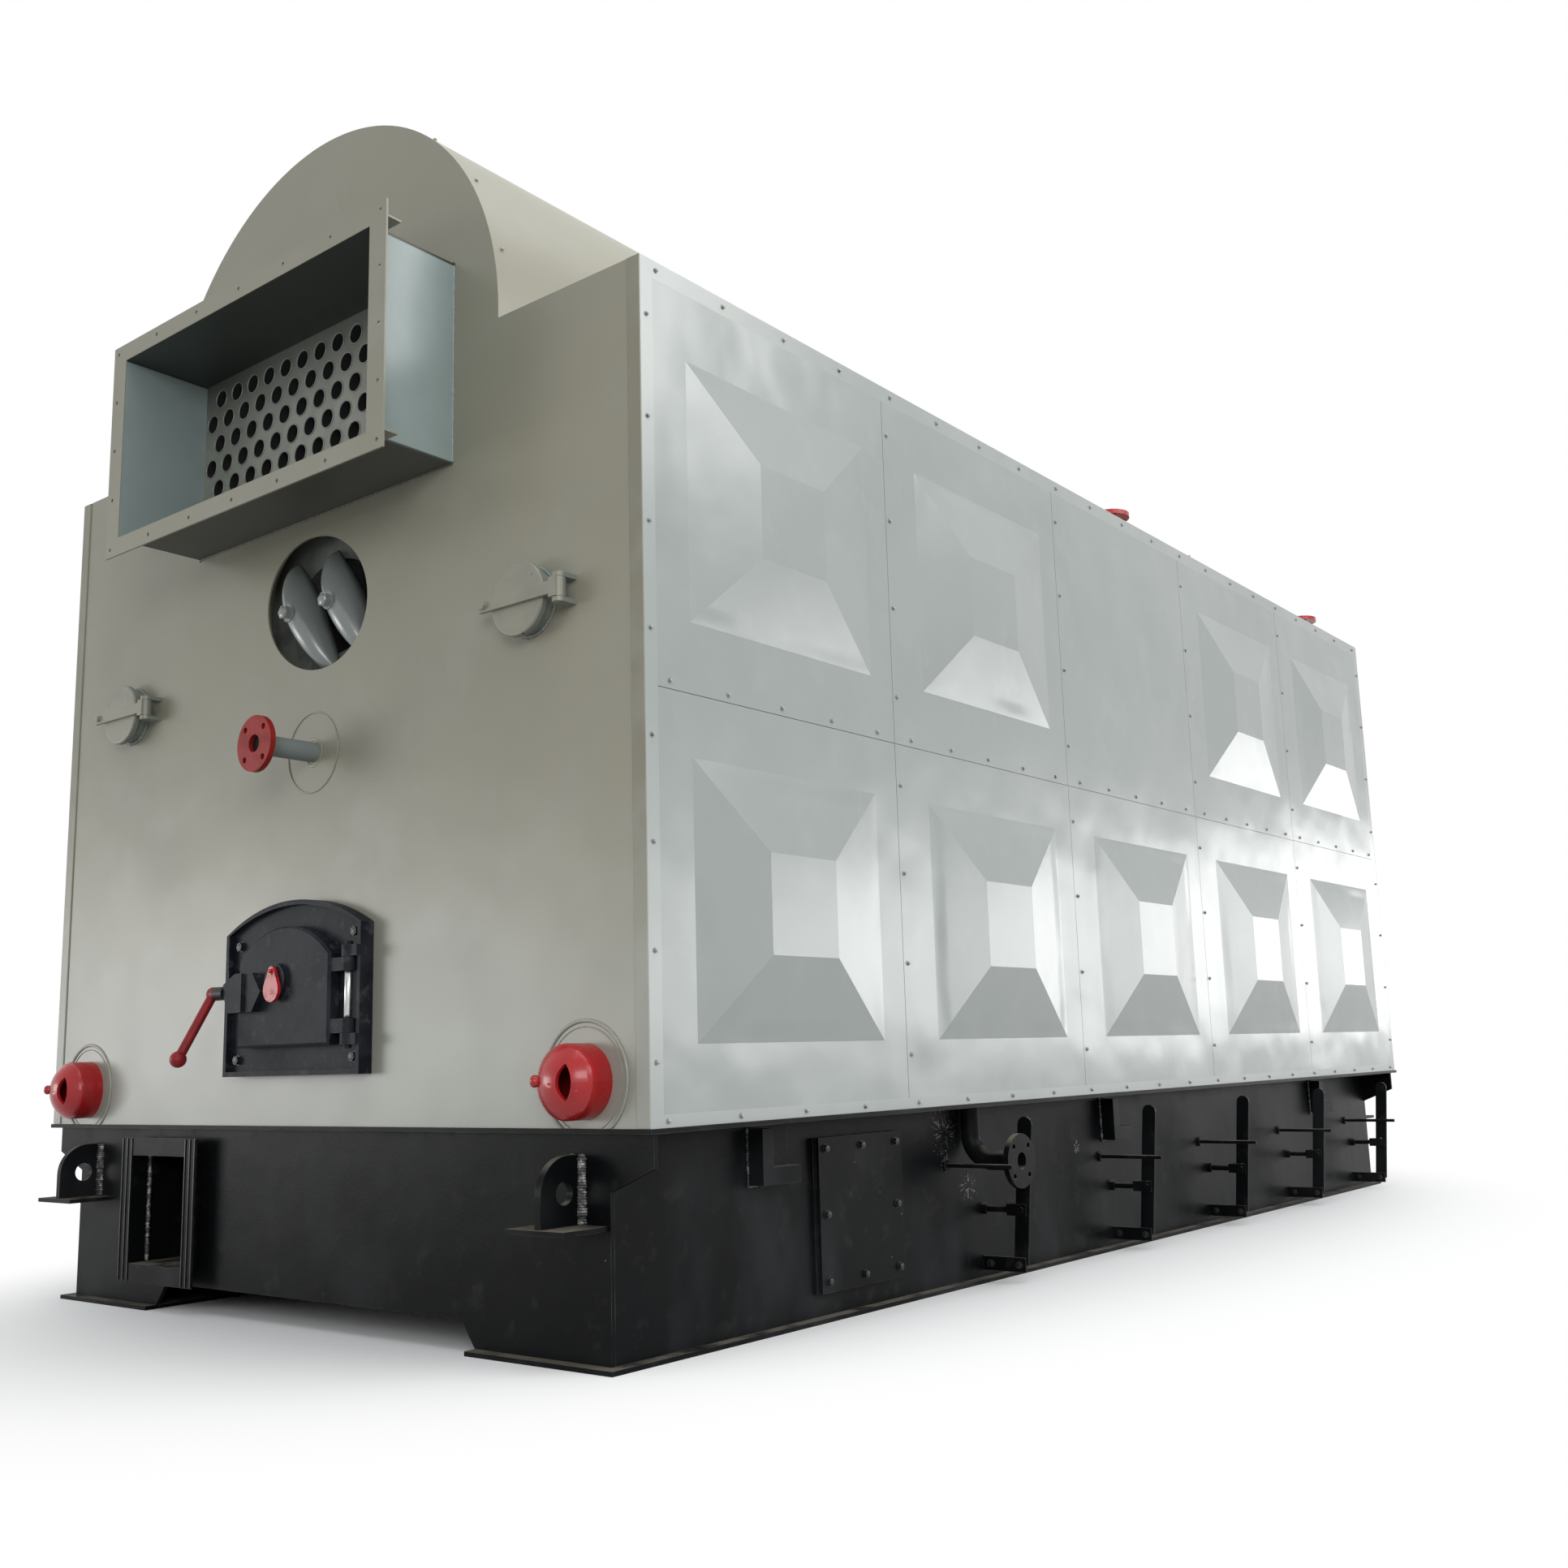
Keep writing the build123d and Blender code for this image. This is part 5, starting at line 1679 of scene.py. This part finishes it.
@dataclass
class Ports:
    """The two cleaning ports with their hinged covers.

    Args:
        x: How far each port stands from the middle.
        weld_radius: Radius of the weld round a neck.
        weld: Sizes of that weld.
        bolt_in: How far a strap's bolt lies in from the cover's left edge.
    """

    x: float = 0.980
    weld_radius: float = 0.091
    weld: Bead = Bead(0.014, 0.005, 0.006)
    bolt_in: float = 0.022

    def axis(self, side: int, y: float) -> Vector:
        """Return a point on a port's axis."""
        low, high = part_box("port_cover_right")
        return Vector((side * self.x, y, (low.z + high.z) / 2))

    def root_run(self, side: int, steps: int = 40) -> Run:
        """Follow the root of a neck.

        Args:
            side: 1 for the right port, -1 for the left.
            steps: How many points the circle has.

        Returns:
            The closed line that the weld follows.
        """
        turn = TO_NEAR.to_track_quat("Z", "Y").to_matrix() * self.weld_radius
        angles = [2 * math.pi * n / steps for n in range(steps + 1)]
        centre = self.axis(side, near_face() - 0.002)
        return [centre + turn @ Vector((math.cos(a), math.sin(a), 0)) for a in angles], TO_NEAR

    def build(self) -> None:
        """Finish the ports, weld their necks and add a bolt to each cover's strap."""
        paint(PORT_GREY, "port_necks", "port_cover_right", "port_cover_left")
        for side, name in ((1, "right"), (-1, "left")):
            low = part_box(f"port_cover_{name}")[0]
            mark = Mark(Vector((low.x + self.bolt_in, low.y, self.axis(side, low.y).z)))
            fasteners(f"port_bolt_{name}", [mark], M12, PORT_GREY, f"port_cover_{name}")
        beads("port_welds", [self.root_run(-1), self.root_run(1)], self.weld, PORT_GREY)


@dataclass
class FireDoor:
    """The cast fire door, its frame, latch and spy-hole flap.

    Args:
        pin_radius: Radius of the bright hinge pin.
        pin_low: Foot of the bright stretch above the casing's foot.
        pin_high: Head of the bright stretch above the casing's foot.
        pin_edge: Size of the pin's chamfers.
        frame_stand: How far the frame's flat face stands off the end panel.
        studs: X and Z of each stud, from the frame's nearest edges.
    """

    pin_radius: float = 0.0113
    pin_low: float = 0.297
    pin_high: float = 0.425
    pin_edge: float = 0.001
    frame_stand: float = 0.025
    studs: tuple[tuple[float, float], ...] = (
        (0.050, 0.048), (-0.044, 0.048), (0.052, -0.118), (-0.044, -0.108))

    def pin(self) -> Mesh:
        """Turn the bare stretch of the hinge pin between the door's knuckles.

        Returns:
            Its mesh.
        """
        shape = bmesh.new()
        hinge = joint_place("fire_door_hinge")
        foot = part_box("end_panel_near")[0].z + self.pin_low
        length, radius, edge = self.pin_high - self.pin_low, self.pin_radius, self.pin_edge
        profile = [(0.0, 0.0), (radius - edge, 0.0), (radius, edge),
                   (radius, length - edge), (radius - edge, length), (0.0, length)]
        turned(shape, profile, Vector((hinge.x, hinge.y, foot)), Vector((0, 0, 1)), 32)
        return mesh_of("hinge_pin", shape)

    def frame_marks(self) -> list[Mark]:
        """Place the studs at the frame's corners.

        Returns:
            A mark for each stud.
        """
        low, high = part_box("fire_door_frame")
        marks = []
        for x, z in self.studs:
            corner = Vector((low.x if x > 0 else high.x, 0, low.z if z > 0 else high.z))
            marks.append(Mark(corner + Vector((x, near_face() - self.frame_stand, z))))
        return marks

    def build(self) -> None:
        """Finish the door and add its studs, pin and flap rivet."""
        paint(CAST_BLACK, "fire_door_frame", "fire_door")
        paint(HANDLE_RED, "latch_handle")
        paint(FLAP_RED, "peephole_flap")
        paint(REFRACTORY, "furnace_mouth")
        piece_from("hinge_pin", self.pin(), BRIGHT_STEEL, smooth=True)
        fasteners("frame_studs", self.frame_marks(), M16, BOLT_BLACK)
        pivot = joint_place("peephole_swing")
        rivet = Mark(Vector((pivot.x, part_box("peephole_flap")[0].y, pivot.z)))
        fasteners("flap_rivet", [rivet], RIVET, FLAP_RED, "peephole_flap")


@dataclass
class BaseFrame:
    """The black base with its lugs, air inlet, covers, brackets and drain.

    Args:
        cover_inset: How far a cover's bolts lie in from its edges.
        cover_shifts: How far the near and the middle column of bolts are set further on.
        lug_x: How far each lug stands from the middle.
        lug_face: Distance of a lug's welds from its own middle.
        lug_weld_out: How far those welds stand off the base's end.
        lug_weld_ends: Gaps below and above them.
        plate_back: How far the near plate lies behind the air inlet's front.
        bracket_starts: Y of the near edge of each deck bracket.
        bracket_length: Length of a deck bracket.
        bracket_leg: Thickness of its legs.
        bracket_lap: How far its welds lie off it.
        inlet_back: How far the air inlet's root lies behind its front.
        inlet_inside: Distance of the inside weld from the inlet's left edge.
        inlet_outside: Distance of the outside weld from its right edge.
        iron_edges: Distances of the angle irons' edges from the inlet's sides.
        iron_edge: Half the width of such an edge, and how far it stands out.
        splashes: Y, Z and reach of each burst of weld metal on the side with the levers.
        rays: Runs of metal in a burst.
        drops: Drops to the square metre round it.
    """

    cover_inset: float = 0.030
    cover_shifts: tuple[float, float] = (0.012, 0.006)
    lug_x: float = 1.120
    lug_face: float = 0.014
    lug_weld_out: float = 0.004
    lug_weld_ends: tuple[float, float] = (0.016, 0.004)
    plate_back: float = 0.046
    bracket_starts: tuple[float, ...] = (-2.123, -0.104, 2.017)
    bracket_length: float = 0.158
    bracket_leg: float = 0.045
    bracket_lap: float = 0.002
    inlet_back: float = 0.060
    inlet_inside: float = 0.062
    inlet_outside: float = 0.046
    iron_edges: Triple = (0.056, 0.031, 0.005)
    iron_edge: tuple[float, float] = (0.0018, 0.003)
    splashes: tuple[Triple, ...] = (
        (-1.165, 0.470, 0.075), (-1.030, 0.300, 0.055), (-1.155, 0.375, 0.030), (-0.30, 0.37, 0.025))
    rays: int = 26
    drops: float = 7000.0

    def cover_marks(self) -> list[Mark]:
        """Place the eight bolts of each access cover.

        Returns:
            A mark for each bolt.
        """
        low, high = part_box("access_covers")
        near, middle = self.cover_shifts
        ys = [low.y + near + self.cover_inset, (low.y + high.y) / 2 + middle, high.y - self.cover_inset]
        zs = [low.z + self.cover_inset, (low.z + high.z) / 2, high.z - self.cover_inset]
        places = [(y, z) for z in zs for y in ys if (y, z) != (ys[1], zs[1])]
        return [Mark(Vector((side * high.x, y, z)), Vector((side, 0, 0)))
                for side in (-1, 1) for y, z in places]

    def lug_beads(self) -> list[Run]:
        """Follow the upright root welds on both faces of each lug.

        Returns:
            A line for each weld.
        """
        low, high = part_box("lifting_lugs")
        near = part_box("air_inlet")[0].y + self.plate_back
        far = sum(corner.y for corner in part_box("base_deck")) - near
        bottom, top = low.z + self.lug_weld_ends[0], high.z - self.lug_weld_ends[1]
        runs = []
        for end, wall in ((-1, near), (1, far)):
            y = wall + end * self.lug_weld_out
            for side in (-1, 1):
                for face in (-1, 1):
                    x = side * self.lug_x + face * self.lug_face
                    line = [Vector((x, y, bottom)), Vector((x, y, top))]
                    runs.append((line, Vector((face * 0.6, end, 0)).normalized()))
        return runs

    def bracket_beads(self) -> list[Run]:
        """Follow the foot of each deck bracket, outside and inside its corner.

        Returns:
            Two lines for each bracket.
        """
        low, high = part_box("deck_brackets")
        lap = self.bracket_lap
        leg = self.bracket_leg + lap
        runs = []
        for side in (-1, 1):
            x = side * (base_wall() + 0.003)
            for start in self.bracket_starts:
                end = start + self.bracket_length
                outer = [(start - lap, high.z), (start - lap, low.z - lap), (end + lap, low.z - lap)]
                inner = [(start + leg, high.z), (start + leg, low.z + leg), (end, low.z + leg)]
                for corners in (outer, inner):
                    runs.append(([Vector((x, y, z)) for y, z in corners], Vector((side, 0, 0))))
        return runs

    def inlet_beads(self) -> list[Run]:
        """Follow the upright weld inside the air inlet and the one outside it.

        Returns:
            The two lines.
        """
        low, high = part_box("air_inlet")
        facing = Vector((1, -1, 0)).normalized()
        inside, outside = low.x + self.inlet_inside, high.x - self.inlet_outside
        runs = []
        for x, out, gap in ((inside, 0.0, 0.06), (outside, 0.006, 0.02)):
            y = low.y + self.inlet_back - out
            runs.append(([Vector((x, y, low.z + gap)), Vector((x, y, high.z - gap))], facing))
        return runs

    def inlet_edges(self) -> Mesh:
        """Make the proud edges of the angle irons beside the air inlet.

        Returns:
            Their mesh.
        """
        shape = bmesh.new()
        low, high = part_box("air_inlet")
        half, out = self.iron_edge
        bottom, top = low.z + 0.003, high.z - 0.003
        for inward in self.iron_edges:
            for x in (high.x - inward, low.x + inward):
                corners = [(x - half, bottom), (x + half, bottom), (x + half, top), (x - half, top)]
                prism(shape, [Vector((a, low.y, z)) for a, z in corners], TO_NEAR * out)
        return mesh_of("inlet_edges", shape)

    def bursts(self) -> Mesh:
        """Draw the thin runs of weld metal that burst out from where pipes were welded in.

        Returns:
            Their mesh.
        """
        chance = random.Random(11)
        shape = bmesh.new()
        wall = base_wall()
        for y, z, reach in self.splashes:
            for _ in range(self.rays):
                angle = chance.uniform(0, 2 * math.pi)
                ray = Vector((0, math.cos(angle), math.sin(angle)))
                start = Vector((wall, y, z)) + ray * reach * chance.uniform(0.15, 0.6)
                along = ray * reach * chance.uniform(0.2, 0.55)
                half = Vector((0, -ray.z, ray.y)) * chance.uniform(0.0006, 0.0016)
                tip = start + along
                outline = [start - half, start + half, tip + half * 0.3, tip - half * 0.3]
                prism(shape, outline, Vector((chance.uniform(0.0006, 0.0015), 0, 0)))
        return mesh_of("weld_bursts", shape)

    def build(self) -> None:
        """Finish the base and add its bolts and welds."""
        paint(BASE_BLACK, "base_side_right", "base_side_left", "base_end_near", "base_end_far",
              "base_deck", "air_inlet", "lifting_lugs", "access_covers", "deck_brackets", "drain_pipe")
        fasteners("cover_bolts", self.cover_marks(), M12, BOLT_BLACK)
        beads("lug_welds", self.lug_beads(), Bead(0.034, 0.008, 0.0065), WELD_BARE)
        beads("bracket_welds", self.bracket_beads(), Bead(0.011, 0.005, 0.005), WELD_BLACK)
        beads("inlet_welds", self.inlet_beads(), Bead(0.015, 0.006, 0.006), WELD_BARE)
        piece_from("weld_bursts", self.bursts(), WELD_BARE)
        piece_from("inlet_edges", self.inlet_edges(), BOLT_BLACK)
        patches = [(Vector((base_wall(), y, z)), reach * 0.9) for y, z, reach in self.splashes]
        spatter("weld_drops", patches, self.drops, WELD_BARE)


@dataclass
class DamperLevers:
    """The five damper levers with their links, stops and push rods.

    Args:
        levers: How many levers there are.
        link_root: How far a link's inner bolt stands out from the base's wall.
        link_face: How far a link's near face is from its lever's middle.
    """

    levers: int = 5
    link_root: float = 0.030
    link_face: float = 0.015

    def link_marks(self) -> list[Mark]:
        """Place the two bolts of each link and the nut behind its pivot.

        Returns:
            Three marks for each lever.
        """
        marks = []
        for joint in frame["joints"]:
            if joint["name"].startswith("lever_"):
                x, y, z = joint["pos_m"]
                marks += [Mark(Vector((base_wall() + self.link_root, y - self.link_face, z))),
                          Mark(Vector((x, y - self.link_face, z))),
                          Mark(Vector((x, y + self.link_face, z)), TO_FAR)]
        return marks

    def build(self) -> None:
        """Finish the levers and add their bolts."""
        paint(BASE_BLACK, "lever_brackets")
        for n in range(1, self.levers + 1):
            paint(BASE_BLACK, f"damper_lever_{n}", f"push_rod_{n}")
        fasteners("link_bolts", self.link_marks(), M12, BOLT_BLACK)


@dataclass(frozen=True)
class Lamp:
    """One soft area lamp.

    Args:
        name: Its name.
        place: Where it hangs.
        aim: The point that it looks at.
        size: Its width and height.
        watts: Its power.
    """

    name: str
    place: Triple
    aim: Triple
    size: tuple[float, float]
    watts: float

    def hang(self) -> None:
        """Put the lamp into the scene."""
        data = bpy.data.lights.new(self.name, "AREA")
        data.shape = "RECTANGLE"
        data.size, data.size_y = self.size
        data.energy = self.watts
        lamp = bpy.data.objects.new(self.name, data)
        turn = (Vector(self.place) - Vector(self.aim)).to_track_quat("Z", "Y").to_matrix().to_4x4()
        lamp.matrix_world = Matrix.Translation(self.place) @ turn
        bpy.context.scene.collection.objects.link(lamp)


@dataclass
class Studio:
    """The camera at the photograph's viewing angle, the pale floor and the soft lights.

    Args:
        lens: Focal length on the sensor, in millimetres.
        sensor: Width of the sensor, in millimetres.
        yaw: Camera heading left of +Y, in degrees.
        pitch: Camera heading above the horizon, in degrees.
        roll: Camera turn about its own axis, in degrees.
        place: Where the camera stands.
        floor_reach: Half the width of the floor.
        fade_start: Distance from the middle at which the floor starts to fade to white.
        fade_end: Distance at which it is white.
        floor_seen: The floor's colour to the camera, before it fades.
        sky: Colour of the soft light from all round.
        sky_level: Its strength.
        lamps: The lamps.
    """

    lens: float = 35.87
    sensor: float = 36.0
    yaw: float = 37.98
    pitch: float = 9.84
    roll: float = -1.63
    place: Triple = (3.9325, -5.3836, 0.7212)
    floor_reach: float = 60.0
    fade_start: float = 2.4
    fade_end: float = 4.0
    floor_seen: Colour = (0.90, 0.90, 0.895)
    sky: Colour = (0.93, 0.96, 1.0)
    sky_level: float = 0.50
    lamps: tuple[Lamp, ...] = (
        Lamp("overhead", (2.0, -1.5, 8.5), (0.5, 0, 1), (7.0, 7.0), 280),
        Lamp("skylight", (11.0, 4.0, 8.6), (0.7, -2.0, 2.4), (7.0, 3.5), 430),
        Lamp("side_fill", (9.0, -2.0, 5.0), (1, 0, 1.2), (7.0, 3.0), 170),
        Lamp("front_fill", (7.0, -9.5, 3.6), (0, -2.9, 1.8), (4.0, 3.0), 260),
        Lamp("far_window", (8.8, 11.4, 1.95), (1.4, -0.5, 1.2), (12.0, 2.3), 380),
        Lamp("end_window", (-7.5, -8.5, 1.3), (0, -2.6, 0.8), (5.0, 2.2), 210),
    )

    def camera(self) -> None:
        """Stand the camera and make it the scene's."""
        yaw, pitch, roll = (math.radians(angle) for angle in (self.yaw, self.pitch, self.roll))
        ahead = Vector((-math.sin(yaw) * math.cos(pitch), math.cos(yaw) * math.cos(pitch), math.sin(pitch)))
        level = Vector((math.cos(yaw), math.sin(yaw), 0))
        up = level.cross(ahead)
        right = level * math.cos(roll) + up * math.sin(roll)
        top = up * math.cos(roll) - level * math.sin(roll)
        data = bpy.data.cameras.new("camera")
        data.lens = self.lens
        data.sensor_width = self.sensor
        data.clip_end = 200.0
        camera = bpy.data.objects.new("camera", data)
        turn = Matrix((right, top, -ahead)).transposed().to_4x4()
        camera.matrix_world = Matrix.Translation(self.place) @ turn
        bpy.context.scene.collection.objects.link(camera)
        bpy.context.scene.camera = camera

    def seen(self, tree: Tree) -> Socket:
        """Tell the camera's, glossy and transmission rays from the rest.

        Args:
            tree: The material's or world's tree.

        Returns:
            1 for those rays and 0 for the rest.
        """
        path = tree.node("ShaderNodeLightPath").outputs
        seen = tree.maths("MAXIMUM", path["Is Camera Ray"], path["Is Glossy Ray"])
        return tree.maths("MAXIMUM", seen, path["Is Transmission Ray"])

    def floor_material(self) -> bpy.types.Material:
        """Write the floor's material, which fades to white away from the boiler.

        Returns:
            The material.
        """
        material = PALE_FLOOR.material()
        tree = Tree(material.node_tree)
        shader = tree.data.nodes["Principled BSDF"]
        oval = tree.vector("MULTIPLY", tree.place(), (1.5, 0.9, 1.0)).outputs[0]
        away = tree.ramp(tree.vector("LENGTH", oval).outputs["Value"], self.fade_start, self.fade_end)
        seen = self.seen(tree)
        pale = tree.mix_colour(seen, (*PALE_FLOOR.colour, 1.0), (*self.floor_seen, 1.0))
        tree.put(shader, "Base Color", pale)
        white = tree.node("ShaderNodeEmission", {"Color": (1.0, 1.0, 1.0, 1.0), "Strength": 1.0}).outputs[0]
        inputs = {0: tree.maths("MULTIPLY", away, seen), 1: shader.outputs[0], 2: white}
        both = tree.node("ShaderNodeMixShader", inputs).outputs[0]
        tree.put(tree.data.nodes["Material Output"], 0, both)
        return material

    def floor(self) -> None:
        """Lay the pale floor."""
        reach = self.floor_reach
        mesh = bpy.data.meshes.new("floor")
        corners = [(-reach, -reach, 0), (reach, -reach, 0), (reach, reach, 0), (-reach, reach, 0)]
        mesh.from_pydata(corners, [], [(0, 1, 2, 3)])
        mesh.materials.append(self.floor_material())
        floor = bpy.data.objects.new("floor", mesh)
        bpy.context.scene.collection.objects.link(floor)

    def world(self) -> None:
        """Make a white surround for the camera and gloss, with a soft level of light."""
        world = bpy.data.worlds.new("surround")
        bpy.context.scene.world = world
        world.use_nodes = True
        tree = Tree(world.node_tree)
        tree.data.nodes.clear()
        light = tree.node("ShaderNodeBackground", {"Color": (*self.sky, 1.0), "Strength": self.sky_level})
        white = tree.node("ShaderNodeBackground", {"Color": (1.0, 1.0, 1.0, 1.0), "Strength": 1.0})
        inputs = {0: self.seen(tree), 1: light.outputs[0], 2: white.outputs[0]}
        tree.node("ShaderNodeOutputWorld", {"Surface": tree.node("ShaderNodeMixShader", inputs).outputs[0]})

    def build(self) -> None:
        """Set up the camera, floor, world and lamps."""
        self.camera()
        self.floor()
        self.world()
        for lamp in self.lamps:
            lamp.hang()
        bpy.context.scene.view_settings.view_transform = "Standard"


def main() -> None:
    """Dress the boiler and its studio."""
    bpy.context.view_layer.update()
    for maker in (Studio, Casing, FlueEnd, Headers, Ports, FireDoor, BaseFrame, DamperLevers):
        log.info("building %s", maker.__name__)
        maker().build()


if __name__ == "__main__":
    main()
